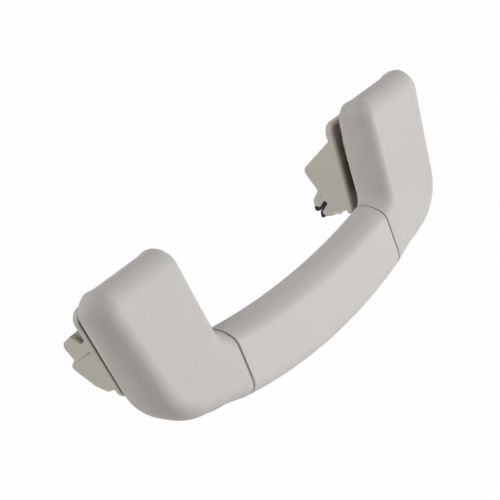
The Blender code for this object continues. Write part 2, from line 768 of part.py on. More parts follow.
def box_sections():
    """(y, z, radius) corners of the bracket's box: its inner side, then its outer side."""
    root = -0.0008
    notch_y = NOSE_REACH - NOTCH_DEPTH
    lip_a, lip_b = lips()
    inner = [
        (root, BOX_TOP, 0.0),
        (NOSE_REACH, -NOSE_DROP, BOX_CORNER),
        (notch_y, -NOSE_DROP - NOTCH_DROP, 0.0016),
        (NOSE_REACH - 0.0014, -NOSE_DROP - 0.0151, 0.0024),
        (lip_a.x, lip_a.y, 0.0004),
        (lip_b.x + 0.0018, lip_a.y - 0.0007, 0.0),
        (lip_b.x + 0.0015, lip_b.y + 0.0025, 0.0),
        (lip_b.x, lip_b.y, 0.0004),
        (0.0096, BOX_LOW - 0.0009, 0.0015),
        (0.0050, BOX_LOW + 0.0005, 0.0006),
        (root, BOX_LOW + 0.0030, 0.0),
    ]
    outer = [
        (root, BOX_TOP + 0.0006, 0.0),
        (NOSE_REACH - 0.0028, -NOSE_DROP + 0.0044, BOX_CORNER),
        (NOSE_REACH - 0.0040, -NOSE_DROP - 0.0038, 0.0016),
        (NOSE_REACH - 0.0002, -NOSE_DROP - 0.0075, 0.0013),
        (NOSE_REACH - 0.0003, -NOSE_DROP - 0.0096, 0.0004),
        (0.0175, BOX_LOW + 0.0100, 0.0),
        (0.0151, BOX_LOW + 0.0073, 0.0),
        (0.0128, BOX_LOW + 0.0047, 0.0004),
        (0.0072, BOX_LOW + 0.0026, 0.0015),
        (0.0036, BOX_LOW + 0.0040, 0.0006),
        (root, BOX_LOW + 0.0049, 0.0),
    ]
    return inner, outer


def bracket_box():
    """The box that goes through the roof panel: a loft from its inner side to its outer side."""
    inner, outer = box_sections()
    near = rounded(inner, 3)
    far = rounded(outer, 3)
    rings = [
        [Vector((BOX_INNER, p.x, p.y)) for p in near],
        [Vector((BOX_MIDDLE, p.x, p.y)) for p in near],
        [Vector((flange_outer(p.y) - BOX_OUTER_MARGIN, p.x, p.y)) for p in far],
    ]
    return loft("bracket_box", rings, BRACKET_PLASTIC, CUTTERS)


def chamber_outline(top, low):
    """(y, z) outline of a hollow in the box, which opens into the tray."""
    slope = (NOSE_DROP + BOX_TOP) / NOSE_REACH
    mouth = -FLANGE_DEPTH - CUT_MARGIN
    reach = NOSE_REACH - 3 * CHAMBER_WALL
    roof = BOX_TOP - CHAMBER_WALL
    outline = [Vector((mouth, top)), Vector((max(0.0, (roof - top) / slope), top))]
    if roof - slope * reach < low:
        return outline + [Vector(((roof - low) / slope, low)), Vector((mouth, low))]
    outline += [Vector((reach, roof - slope * reach)), Vector((reach - CHAMBER_WALL, CHAMBER_LOW))]
    if low < CHAMBER_LOW:
        outline.append(Vector((CHAMBER_FOOT, low)))
    return outline + [Vector((mouth, low))]


def slot_frame():
    """The clip slot's mouth, its direction into the box, and the direction across it, to the upper lip."""
    lip_a, lip_b = lips()
    inward = Vector((-1.0, 1.0)).normalized()
    mouth = (lip_a + lip_b) / 2 - inward * MOUTH_SET
    return mouth, inward, Vector((1.0, 1.0)).normalized()


def clip_slot():
    mouth, inward, side = slot_frame()
    half = CLIP_SLOT / 2
    outline = [mouth - inward * 0.003 + side * half, mouth - inward * 0.003 - side * half]
    end = mouth + inward * (CLIP_SLOT_DEPTH - half)
    outline.append(end - side * half)
    first = math.degrees(math.atan2(-side.y, -side.x))
    outline += arc_points(end, half, first, first - 180, 6)[1:]
    return slab("clip_slot", outline, BOX_INNER - CUT_MARGIN, BOX_MIDDLE - FIT_GAP)


def bracket(name):
    """Moulded bracket: tray flange, hooked box behind it and two hinge ears in front."""
    made = panel(name, flange_outline(0.0), -FLANGE_DEPTH, 0.0, BRACKET_PLASTIC, PARTS)
    boolean(made, bracket_box(), "UNION")
    near = BOX_INNER + THIN_WALL, EAR_INNER - SLIDE_GAP
    far_end = flange_outer(CHAMBER_LOW) - BOX_OUTER_MARGIN - OUTER_WALL
    far = EAR_INNER + EAR_THICKNESS + FLOOR_STRIP, far_end
    roof = BOX_TOP - CHAMBER_WALL
    web_low = -WEB_DROP - WEB_THICKNESS
    boolean(made, slab("upper_chamber", chamber_outline(roof, -WEB_DROP), *near))
    boolean(made, slab("lower_chamber", chamber_outline(web_low, NEAR_CHAMBER_LOW), *near))
    boolean(made, slab("far_chamber", chamber_outline(roof, CHAMBER_LOW), *far))
    tray = panel("tray", flange_outline(FLANGE_RIM), -FLANGE_DEPTH - 0.002, -FLANGE_FLOOR)
    boolean(made, tray)
    for low in (EAR_INNER, EAR_OUTER):
        ear = slab("ear", neck_outline(EYE_RADIUS, NECK_HEIGHT), low, low + EAR_THICKNESS)
        boolean(made, ear, "UNION")
    outer = flange_outer(-0.010)
    pocket = [
        Vector((POCKET_START, CUT_MARGIN)),
        Vector((POCKET_START, -POCKET_LOW)),
        Vector((POCKET_END - POCKET_LEAN, -POCKET_LOW - POCKET_LEAN)),
        Vector((POCKET_END, -POCKET_LOW)),
        Vector((POCKET_END, CUT_MARGIN)),
    ]
    boolean(made, slab("hook_pocket", pocket, outer - POCKET_DEPTH, outer + 0.004))
    boolean(made, outer_rib(), "UNION")
    boolean(made, clip_slot())
    stem = post(
        "stem_hole", -FLANGE_FLOOR - 0.001, -FLANGE_FLOOR + BUFFER_STEM_LENGTH + FIT_GAP,
        BUFFER_STEM + FIT_GAP, BUFFER_X, -BUFFER_DROP, BRACKET_PLASTIC, CUTTERS, 16,
    )
    boolean(made, stem)
    line = (HINGE_Y, 0.0)
    bore = rod("ear_bore", EAR_INNER - 0.001, EAR_OUTER + 0.005, BORE_RADIUS, BRACKET_PLASTIC, line, CUTTERS)
    boolean(made, bore)
    smooth(made)
    return made


def outer_rib():
    """The raised rib that crosses the box's outer side, from the flange to the notch."""
    start = Vector((0.0010, -0.0164))
    end = Vector((NOSE_REACH - 0.0052, -NOSE_DROP - 0.0026))
    side = (end - start).orthogonal().normalized() * (RIB_WIDTH / 2)
    outline = [start + side, start - side, end - side, end + side]
    rings = []
    for offset in (-0.003, RIB_PROUD):
        ring = [Vector((flange_outer(p.y) - BOX_OUTER_MARGIN + offset, p.x, p.y)) for p in outline]
        rings.append(ring)
    return loft("outer_rib", rings, BRACKET_PLASTIC, CUTTERS)


def retaining_clip(name):
    """Folded spring strip in the slot, with a rolled hem over the end of each lip."""
    mouth, inward, side = slot_frame()
    face = CLIP_SLOT / 2 - FIT_GAP
    inner = face - CLIP_THICKNESS
    turn = CLIP_SLOT_DEPTH - CLIP_SLOT / 2
    fold_out = arc_points((0.0, turn), face, 180, 0, 8)
    fold_in = arc_points((0.0, turn), inner, 0, 180, 6)
    upper_hem = [
        (face, HEM_REACH * 0.56),
        (HEM_REACH, 0.0001),
        (HEM_REACH, -HEM_DROP * 0.24),
        (HEM_REACH * 0.60, -HEM_DROP),
        (HEM_REACH * 0.29, -HEM_DROP * 0.59),
        (inner, HEM_REACH * 0.15),
    ]
    lower_hem = [
        (-inner, -HEM_DROP * 0.06),
        (-HEM_REACH * 0.15, -HEM_DROP * 0.35),
        (-HEM_REACH * 0.53, -HEM_DROP * 1.35),
        (-HEM_REACH * 0.87, -HEM_DROP),
        (-HEM_REACH, -HEM_DROP * 0.20),
        (-face, HEM_DROP * 0.26),
    ]
    flat = [*upper_hem, *fold_in, *lower_hem, *fold_out]
    outline = [mouth + side * across_slot + inward * depth for across_slot, depth in flat]
    low = BOX_INNER + FIT_GAP
    made = slab(name, outline, low, low + CLIP_WIDTH, DARK_STEEL, PARTS)
    smooth(made)
    return made


def hinge_pin(name):
    """Headed steel pin through both lugs and both ears."""
    start = EAR_INNER - SLIDE_GAP - LUG_THICKNESS - FIT_GAP
    ring = EAR_OUTER + EAR_THICKNESS + SLIDE_GAP + LUG_THICKNESS + FIT_GAP
    end = ring + RING_THICKNESS + FIT_GAP + PIN_END
    chamfer = 0.0004
    profile = [
        (start - PIN_HEAD_LENGTH, 0.0),
        (start - PIN_HEAD_LENGTH, PIN_HEAD_RADIUS - chamfer),
        (start - PIN_HEAD_LENGTH + chamfer, PIN_HEAD_RADIUS),
        (start, PIN_HEAD_RADIUS),
        (start, PIN_RADIUS),
        (end - chamfer, PIN_RADIUS),
        (end, PIN_RADIUS - chamfer),
        (end, 0.0),
    ]
    made = turned(name, profile, 0.0, HINGE_Y, 0.0, BRIGHT_STEEL)
    smooth(made)
    return made


def retaining_ring(name):
    """Push-on ring at the pin's outer end."""
    low = EAR_OUTER + EAR_THICKNESS + SLIDE_GAP + LUG_THICKNESS + FIT_GAP
    inner = PIN_RADIUS + FIT_GAP
    profile = [
        (low, inner),
        (low, RING_RADIUS),
        (low + RING_THICKNESS * 0.6, RING_RADIUS),
        (low + RING_THICKNESS, inner + 0.0006),
        (low + RING_THICKNESS, inner),
    ]
    made = turned(name, profile, 0.0, HINGE_Y, 0.0, DARK_STEEL)
    smooth(made)
    return made


def tube_profile(low, high, inner, outer):
    return [(low, inner), (low, outer), (high, outer), (high, inner)]


def spring_sleeve():
    """Plastic sleeve on the left pin that carries the coil."""
    low = EAR_INNER + EAR_THICKNESS + FIT_GAP
    high = EAR_OUTER - FIT_GAP
    profile = tube_profile(-high, -low, PIN_RADIUS + FIT_GAP, SLEEVE_RADIUS)
    made = turned("spring_sleeve", profile, 0.0, HINGE_Y, 0.0, PALE_PLASTIC)
    smooth(made)
    return made


def return_spring():
    """Torsion spring: a close coil with one leg on the bracket and one on the handle's arm."""
    per_turn = 14
    length = (SPRING_WIRE + SPRING_PITCH_GAP) * SPRING_TURNS
    first = -(EAR_INNER + EAR_THICKNESS + FIT_GAP + SPRING_WIRE)
    start_angle = math.radians(SPRING_LEG_ANGLE - 180)
    sweep = math.radians(-360 * SPRING_TURNS + 180 - 2 * SPRING_LEG_ANGLE)
    count = int(per_turn * SPRING_TURNS)
    coil = []
    for i in range(count + 1):
        angle = start_angle + sweep * i / count
        y = HINGE_Y + SPRING_RADIUS * math.cos(angle)
        z = SPRING_RADIUS * math.sin(angle)
        coil.append(Vector((first - length * i / count, y, z)))
    clear = FIT_GAP + SPRING_WIRE / 2
    slope = math.tan(math.radians(90 - SPRING_LEG_ANGLE))
    tray_y = -FLANGE_FLOOR - clear
    tray_z = coil[0].z - (tray_y - coil[0].y) * slope
    on_tray = [Vector((coil[0].x, tray_y, tray_z - SPRING_END)), Vector((coil[0].x, tray_y, tray_z))]
    arm_y = front_face(-ARM_DROP) + CORE_INSET + CORE_WALL + 1.5 * clear
    arm_z = coil[-1].z - (coil[-1].y - arm_y) * slope
    on_arm = [Vector((coil[-1].x, arm_y, arm_z)), Vector((coil[-1].x, arm_y, arm_z - SPRING_END))]
    points = [*on_tray, *coil, *on_arm]
    curve = bpy.data.curves.new("return_spring", "CURVE")
    curve.dimensions = "3D"
    curve.bevel_depth = SPRING_WIRE / 2
    curve.bevel_resolution = 1
    curve.use_fill_caps = True
    spline = curve.splines.new("POLY")
    spline.points.add(len(points) - 1)
    for point, position in zip(spline.points, points):
        point.co = (*position, 1.0)
    made = bpy.data.objects.new("return_spring", curve)
    bpy.context.scene.collection.objects.link(made)
    bpy.context.view_layer.update()
    evaluated = made.evaluated_get(bpy.context.evaluated_depsgraph_get())
    mesh = bpy.data.meshes.new_from_object(evaluated)
    bpy.data.objects.remove(made, do_unlink=True)
    shape = bmesh.new()
    shape.from_mesh(mesh)
    bmesh.ops.remove_doubles(shape, verts=shape.verts, dist=0.000005)
    made = place("return_spring", from_bmesh(shape), DARK_STEEL)
    smooth(made, 60.0)
    return made


def damper_housing():
    """Drum of the rotary damper, with a foot that holds it still in the bracket's tray."""
    low = EAR_INNER + EAR_THICKNESS + FIT_GAP + 0.0006
    high = low + DAMPER_LENGTH
    made = turned(
        "damper_housing", tube_profile(low, high, DAMPER_BORE, DAMPER_RADIUS), 0.0, HINGE_Y, 0.0, DARK_PLASTIC
    )
    angle = math.radians(-NECK_ANGLE)
    along = Vector((math.cos(angle), math.sin(angle)))
    side = Vector((-along.y, along.x)) * (FOOT_HEIGHT / 2)
    centre = Vector((HINGE_Y, 0.0)) - side * 1.2
    near = centre + along * (DAMPER_RADIUS - 0.0012)
    reach = (-FLANGE_FLOOR - FIT_GAP - near.x) / along.x
    far = near + along * reach
    outline = [near + side, near - side]
    outline += [Vector((far.x, (far - side).y - 0.001)), Vector((far.x, (far + side).y))]
    foot = slab("foot", outline, low, low + FOOT_WIDTH, DARK_PLASTIC)
    boolean(made, foot, "UNION")
    smooth(made)
    return made


def damper_cover():
    """Lid that closes the damper's drum."""
    low = EAR_INNER + EAR_THICKNESS + FIT_GAP + 0.0006 + DAMPER_LENGTH + FIT_GAP
    profile = tube_profile(low, low + DAMPER_COVER, DAMPER_BORE, DAMPER_RADIUS - 0.0005)
    made = turned("damper_cover", profile, 0.0, HINGE_Y, 0.0, PALE_PLASTIC)
    smooth(made)
    return made


def damper_rotor():
    """Rotor of the damper: a sleeve on the right pin with a tang that the handle's arm turns."""
    low = EAR_INNER + EAR_THICKNESS + FIT_GAP
    tang_low, tang_high = tang_span()
    profile = tube_profile(low, tang_high, PIN_RADIUS + FIT_GAP, ROTOR_RADIUS)
    made = turned("damper_rotor", profile, 0.0, HINGE_Y, 0.0, PALE_PLASTIC)
    tip = tang_tip()
    half = TANG_WIDTH / 2
    outline = [
        Vector((HINGE_Y - ROTOR_RADIUS + 0.0007, half)),
        Vector((tip, half)),
        Vector((tip, -half)),
        Vector((HINGE_Y - ROTOR_RADIUS + 0.0007, -half)),
    ]
    boolean(made, slab("tang", outline, tang_low, tang_high, PALE_PLASTIC), "UNION")
    smooth(made)
    return made


def tang_tip():
    return HINGE_Y - TANG_REACH


def stop_buffer(name):
    """Rubber buffer on the bracket's tray, which the handle's stop rib meets when folded."""
    foot = -FLANGE_FLOOR - FIT_GAP
    head = LEG_BACK - BUFFER_REST + FIT_GAP
    profile = [
        (foot + BUFFER_STEM_LENGTH, 0.0),
        (foot + BUFFER_STEM_LENGTH, BUFFER_STEM),
        (foot, BUFFER_STEM),
        (foot, BUFFER_RADIUS),
        (head + 0.0012, BUFFER_RADIUS * 0.88),
        (head + 0.0003, BUFFER_RADIUS * 0.70),
        (head, BUFFER_RADIUS * 0.45),
        (head, 0.0),
    ]
    made = turned(name, profile[::-1], BUFFER_X, 0.0, -BUFFER_DROP, RUBBER, "Y", 20)
    smooth(made)
    return made


def cap_screw(name):
    """Pan-head screw that holds the end cap's boss to the arm's front plate."""
    seat = front_face(screw_z()) + CORE_INSET + CORE_WALL + FRONT_TILT * SCREW_HEAD_RADIUS + FIT_GAP
    tip = front_face(screw_z()) + CAP_WALL - 0.0007
    profile = [
        (tip, 0.0),
        (tip, SCREW_RADIUS * 0.6),
        (tip + 0.0006, SCREW_RADIUS),
        (seat, SCREW_RADIUS),
        (seat, SCREW_HEAD_RADIUS),
        (seat + SCREW_HEAD_LENGTH * 0.55, SCREW_HEAD_RADIUS),
        (seat + SCREW_HEAD_LENGTH, SCREW_HEAD_RADIUS * 0.62),
        (seat + SCREW_HEAD_LENGTH, 0.0),
    ]
    made = turned(name, profile, BUFFER_X, 0.0, screw_z(), BRIGHT_STEEL, "Y", 20)
    socket = []
    for i in range(6):
        turn = math.radians(60 * i)
        corner = Vector((math.cos(turn), math.sin(turn))) * SOCKET_RADIUS
        socket.append(Vector((BUFFER_X, screw_z())) + corner)
    cut = panel("socket", socket, seat + 0.0006, seat + SCREW_HEAD_LENGTH + 0.001)
    boolean(made, cut)
    smooth(made)
    return made


def pair(build, name):
    right = build("right_" + name)
    mirrored(right, "left_" + name)


grip_core()
pair(end_cap, "end_cap")
pair(bracket, "bracket")
pair(retaining_clip, "retaining_clip")
pair(hinge_pin, "hinge_pin")
pair(retaining_ring, "pin_ring")
pair(stop_buffer, "stop_buffer")
pair(cap_screw, "cap_screw")
spring_sleeve()
return_spring()
damper_housing()
damper_cover()
damper_rotor()

# The handle and what it carries turn about the hinge line
fold_axis = bpy.data.objects.new("fold_axis", None)
fold_axis.location = (0.0, HINGE_Y, 0.0)
PARTS.objects.link(fold_axis)
bpy.context.view_layer.update()
for moving in PARTS.objects:
    if moving.name.endswith(("grip_core", "end_cap", "cap_screw", "damper_rotor")):
        moving.parent = fold_axis
        moving.matrix_parent_inverse = fold_axis.matrix_world.inverted()
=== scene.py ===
import json
import math

import bmesh
import bpy
from mathutils import Matrix, Vector

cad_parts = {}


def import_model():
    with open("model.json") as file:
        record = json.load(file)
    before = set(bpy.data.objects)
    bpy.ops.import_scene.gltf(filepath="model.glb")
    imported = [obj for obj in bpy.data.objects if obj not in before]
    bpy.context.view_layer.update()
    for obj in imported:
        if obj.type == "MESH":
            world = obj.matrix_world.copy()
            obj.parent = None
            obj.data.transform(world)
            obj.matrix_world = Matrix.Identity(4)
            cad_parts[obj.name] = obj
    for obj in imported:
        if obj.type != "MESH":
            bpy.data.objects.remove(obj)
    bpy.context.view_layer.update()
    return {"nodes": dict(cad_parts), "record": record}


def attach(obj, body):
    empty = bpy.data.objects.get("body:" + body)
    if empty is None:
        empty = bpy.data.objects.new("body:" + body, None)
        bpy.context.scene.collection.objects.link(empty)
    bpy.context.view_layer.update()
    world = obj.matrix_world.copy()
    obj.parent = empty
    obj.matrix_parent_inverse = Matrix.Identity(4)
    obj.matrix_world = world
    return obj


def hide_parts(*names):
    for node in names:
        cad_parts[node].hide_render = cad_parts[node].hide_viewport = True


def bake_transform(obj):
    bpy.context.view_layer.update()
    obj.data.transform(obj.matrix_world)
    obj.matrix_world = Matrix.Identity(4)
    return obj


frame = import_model()

# Camera, fitted to the outline of the photograph: angles in degrees, lens in millimetres, the rest in metres
CAMERA = {
    "azimuth": -45.588, "elevation": 22.295, "roll": -17.031, "distance": 0.66042,
    "lens": 114.763, "right": 0.00065, "up": -0.03164, "target": (0.0, -0.0093, 0.0085),
}
SENSOR_WIDTH = 36.0
CLIP_START = 0.01

# Form of the handle in metres, for the right side; the left side mirrors it, apart from the seam's gap. The
# main sizes are the CAD model's. The seams, folds and softened edges follow the photograph more closely.
SEAM = 0.0550
GRIP_ENDS = (-0.0542, 0.0550)
CAP_STARTS = {"left": 0.0553, "right": 0.0557}
SEAM_LEAN = 0.0005
SEAM_LEAN_TOP = -0.0400
SEAM_LEAN_RUN = 0.0300
SEAM_EDGE = 0.00028
OPENING_HALF = 0.0591
OPENING_HALF_TOP = 0.0655
LEG_TOP = 0.0109
LEG_BACK = -0.0093
LEG_OUTER_TOP = 0.1131
LEG_OUTER_LOW = 0.0989
LEG_HEIGHT = 0.0631
LEG_DEPTH = 0.0192
LEG_MIDDLE = (0.0845, -0.0215)
GRIP_TOP = LEG_TOP - 0.0489
GRIP_BOTTOM = GRIP_TOP - 0.0324
GRIP_THICKNESS = 0.0169
UPPER_ARCH = 0.0051
LOWER_ARCH = 0.0181
TOP_CORNER_RADIUS = 0.0089
BOTTOM_CORNER_RADIUS = 0.0292
BOTTOM_CORNER_REACH = 0.9
INNER_CORNER_RADIUS = 0.0046
SMALLEST_CORNER = 0.0004
FRONT_TILT = 0.103
TILT_PIVOT_DROP = 0.0402
FRONT_LIMIT = -0.0316
CAP_WALL = 0.0022
CORE_INSET = 0.0027
SHAPE_CHANGE_LENGTH = 0.0120
HINGE_Y = LEG_BACK - 0.0055

# Folds: how far each edge of the front face lies in from the outline, and how far it rolls back in y
UPPER_FOLD = 0.0065
LOWER_FOLD = 0.0094
GRIP_ROLL = 0.0110
INNER_FOLD = 0.0062
TOP_FOLD = 0.0094
OUTER_FOLD = 0.0086
BOTTOM_FOLD = 0.0094
LEG_ROLL = 0.0126
INNER_ROLL_GAIN = 0.20
INNER_ROLL_EDGE = 0.0740
INNER_ROLL_RUN = 0.0060
TOP_ROLL_CUT = 0.34
TOP_ROLL_RUN = 0.0040

# The leg's top and the edges at the back
TOP_RISE = 0.0011
TOP_RISE_RUN = 0.0300
TOP_SOFT = 0.0004
TOP_MARGIN = 0.00001
BACK_RADIUS = 0.0052
BACK_TURN = 60
BACK_DRAFT = 0.0009
DRAFT_RUN = 0.0045
BACK_EDGE_DROP = 0.0011
BACK_EDGE_RUN = 0.0100
BACK_CORNER_GROWTH = 0.0008
RELIEF_DROP = 0.0017
RELIEF_INNER = OPENING_HALF_TOP + 0.0058
RELIEF_OUTER = LEG_OUTER_TOP - 0.0096
RELIEF_EDGE = 0.0035
RELIEF_RUN = 0.0090

# The screw boss inside a cap, in y from the front wall's inner face, and how far the arms reach into the bar
BOSS_REACH = (-0.0004, 0.0033)
BOSS_RADII = (0.0014, 0.0031)
ARM_ROOT = 0.0012

# Mesh steps of the handle: round a section, along the bar, and along each run of the leg's outline. FAR is
# the length of the lines that only give a corner its direction.
FRONT_STEPS = 16
BACK_STEPS = 4
GRIP_STEPS = 72
BAR_STEPS = 4
INNER_CORNER_STEPS = 14
INNER_SIDE_STEPS = 12
TOP_CORNER_STEPS = 16
TOP_STEPS = 24
OUTER_SIDE_STEPS = 8
LOW_CORNER_STEPS = 28
LOW_EDGE_STEPS = 12
FAR = 0.05

# Bracket: the tray's floor and rim, its inner and outer hollows along x, and the rib across its floor
TRAY_FLOOR = -0.0015
RIM_FACE = -0.0033
HOLLOWS = (0.0674, 0.0725, 0.0808, 0.09266)
RIB_ENDS = (0.0669, 0.0728)
RIB_LEVEL = -0.0168
RIB_WIDTH = 0.00024
RIB_HEIGHT = 0.00028
RIB_ROOT = 0.0003
RIM_OUTER_EDGE = 0.0010
RIM_INNER_EDGE = 0.0005
BOX_EDGE = 0.0004
BOX_START = 0.0003
LIPS_START = 0.0095
LIPS_TOP = -0.0365

# The noses' tips: the range of each in x, its sharp corner in y and z, and its lean in x along z. Then the
# reach of the rounding at that corner, and how many times larger it gets.
NOSE_TIPS = ((0.0660, 0.0835, 0.02010, -0.02180, 0.0), (0.0995, 0.1015, 0.01730, -0.01740, 0.232))
NOSE_REACH = 0.0021
NOSE_SOFTENING = 1.5

# The gate stub under the box
STUB = (0.0680, 0.0069, -0.0434)
STUB_RADII = (0.0011, 0.0017)
STUB_LENGTH = 0.0022
STUB_TILT = 12
STUB_SIDES = 9

# What counts as the same place
WELD = 0.00001
SAME_PLACE = 0.00002
SAME_WALL = 0.00003

# Edges: below SMOOTH_ANGLE they shade smooth, below FLAT_ANGLE they are dissolved, and above SHARP_ANGLE they
# are softened, unless they are very short or near the hinge
SMOOTH_ANGLE = 35.0
FLAT_ANGLE = 0.8
SHARP_ANGLE = 32.0
SHORTEST_EDGE = 0.0002
HINGE_CLEAR = 0.0045
NORMALS_WEIGHT = 60

# Plastic: how dark its specks are, how strong, the spread of its roughness, and its waves, bump and gloss
SPECK_SHADE = 0.93
SPECK_STRENGTH = 0.35
ROUGHNESS_SPREAD = 0.06
WAVE_SHARE = 1.5
PLASTIC_BUMP = 0.35
PLASTIC_SPECULAR = 0.20

# Steel: how dark its mottling is, its bump with the depth in metres, and how its roughness spreads
MOTTLE_SHADE = 0.7
STEEL_BUMP = (0.3, 0.00003)
STEEL_ROUGHNESS = (-0.08, 0.12)

# Noise patterns: scale, detail and roughness
CLOUDS = (28.0, 3.0, 0.6)
SPECKS = (900.0, 2.0, 0.6)
GLOSS = (120.0, 3.0, 0.6)
WAVES = (60.0, 2.0, 0.5)
STEEL = (700.0, 3.0, 0.6)
DIRT_SPOTS = (700.0, 4.0, 0.75)
SMEARS = (330.0, 3.0, 0.7)
STREAKS = (420.0, 3.0, 0.6)

# Marks, and painted shade in the left pocket and on a notch in the tray: the place, the reach, the share of
# it at full strength, the strength and the colour
MARKS_AND_SHADE = {
    "dirt": ((0.0700, -0.0100, 0.0060), 0.0068, 0.45, 0.75, (0.270, 0.165, 0.090)),
    "smear": ((0.0680, -0.0115, 0.0030), 0.0075, 0.30, 0.22, (0.400, 0.340, 0.280)),
    "speck": ((0.0903, -0.0200, 0.0115), 0.0008, 0.30, 0.60, (0.230, 0.200, 0.170)),
    "rub": ((-0.1095, -0.0140, 0.0070), 0.0028, 0.30, 0.80, (0.760, 0.735, 0.705)),
    # Painted shade in the recess of the left bracket's pocket
    "pocket": ((-0.0991, 0.0060, -0.0155), 0.0065, 0.10, 0.75, (0.110, 0.104, 0.095)),
    "stain": ((0.0722, TRAY_FLOOR, -0.0020), 0.0016, 0.50, 0.60, (0.270, 0.150, 0.060)),
    # The dot is painted shade over a small notch in the tray that would otherwise catch light
    "dot": ((0.0662, 0.01405, -0.0351), 0.00045, 0.50, 0.85, (0.090, 0.092, 0.090)),
    "stub": (STUB, 0.0030, 0.80, 1.00, (0.860, 0.850, 0.830)),
}
DRAG_COLOUR = (0.520, 0.490, 0.460)
DRAG_STRETCH = (1.0, 1.0, 0.06)
DRAG_STRENGTH = 0.10

# Painted shade on the tray's floor, darker towards the leg that closes over it: its colour, its strength as a
# gain and a base, its start and full depth in x, and how it fades towards the tray's ends in z. It covers
# what faces the front at the floor's level, and most of the rib's top.
TRAY_SHADE_COLOUR = (0.020, 0.019, 0.017)
TRAY_SHADE_STRENGTH = (0.74, 0.20)
TRAY_SHADE_X = (0.0666, 0.0735)
TRAY_SHADE_LOW_END = (-0.0330, -0.0410, 0.0, 0.75)
TRAY_SHADE_HIGH_END = (-0.0120, -0.0020, 0.0, 0.80)
FLOOR_SPAN = 0.00012
RIB_SPAN = 0.0001
RIB_SHARE = 0.8
FACES_FRONT = -0.6

# Painted reflection and painted shade on the tray's outer rim, a brownish reflection on its edge and then
# dark
# shade in the gap beside it: their start and full depth in x, and each one's in y, its strength and its
# colour.
# Then where the painted shade in the pocket and the mark on the stub begin and are full.
RIM_X = (0.0955, 0.0965)
RIM_REFLECTION_AND_SHADE = (
    ((-0.0014, -0.0031), 0.60, (0.270, 0.205, 0.145)),
    ((-0.0026, -0.0032), 0.75, (0.040, 0.040, 0.042)),
)
POCKET_SHADE_X = (0.1003, 0.0995)
STUB_Z = (-0.0427, -0.0432)

# Studio: the floor's and background's white, the light of the background on the handle, and the lamps with
# the direction that each shines from, its power and its size
FLOOR_DROP = 0.30
FLOOR_HALF = 6.0
WHITE = 0.985
FILL = 0.015
LAMP_DISTANCE = 2.0
LAMP_TARGET = (0.0, -0.01, -0.03)
LAMPS = {
    "key": ((0.6, -0.8, 0.0), 19.3, 0.6),
    "front": ((0.0, -1.0, 0.12), 5.4, 1.4),
    "front_top": ((0.3, -0.75, 0.6), 8.6, 1.4),
    "top": ((0.0, 0.0, 1.0), 1.6, 1.4),
    "rear_top": ((0.3, 0.72, 0.65), 4.9, 1.4),
    "side": ((-0.6, 0.6, 0.55), 20.0, 1.4),
    "camera_side": ((-0.7, -0.7, 0.35), 5.0, 1.4),
}


def place_camera():
    """A camera at the photograph's viewing angle, rolled with the picture."""
    azimuth, elevation, roll = (math.radians(CAMERA[k]) for k in ("azimuth", "elevation", "roll"))
    back = Vector((
        math.sin(azimuth) * math.cos(elevation), -math.cos(azimuth) * math.cos(elevation), math.sin(elevation)
    ))
    level = Vector((math.cos(azimuth), math.sin(azimuth), 0.0))
    upright = back.cross(level)
    right = level * math.cos(roll) + upright * math.sin(roll)
    up = upright * math.cos(roll) - level * math.sin(roll)
    data = bpy.data.cameras.new("camera")
    data.lens = CAMERA["lens"]
    data.sensor_width = SENSOR_WIDTH
    data.clip_start = CLIP_START
    camera = bpy.data.objects.new("camera", data)
    bpy.context.scene.collection.objects.link(camera)
    place = Vector(CAMERA["target"]) + right * CAMERA["right"] + up * CAMERA["up"] + back * CAMERA["distance"]
    camera.matrix_world = Matrix.Translation(place) @ Matrix((right, up, back)).transposed().to_4x4()
    bpy.context.scene.camera = camera


# Materials


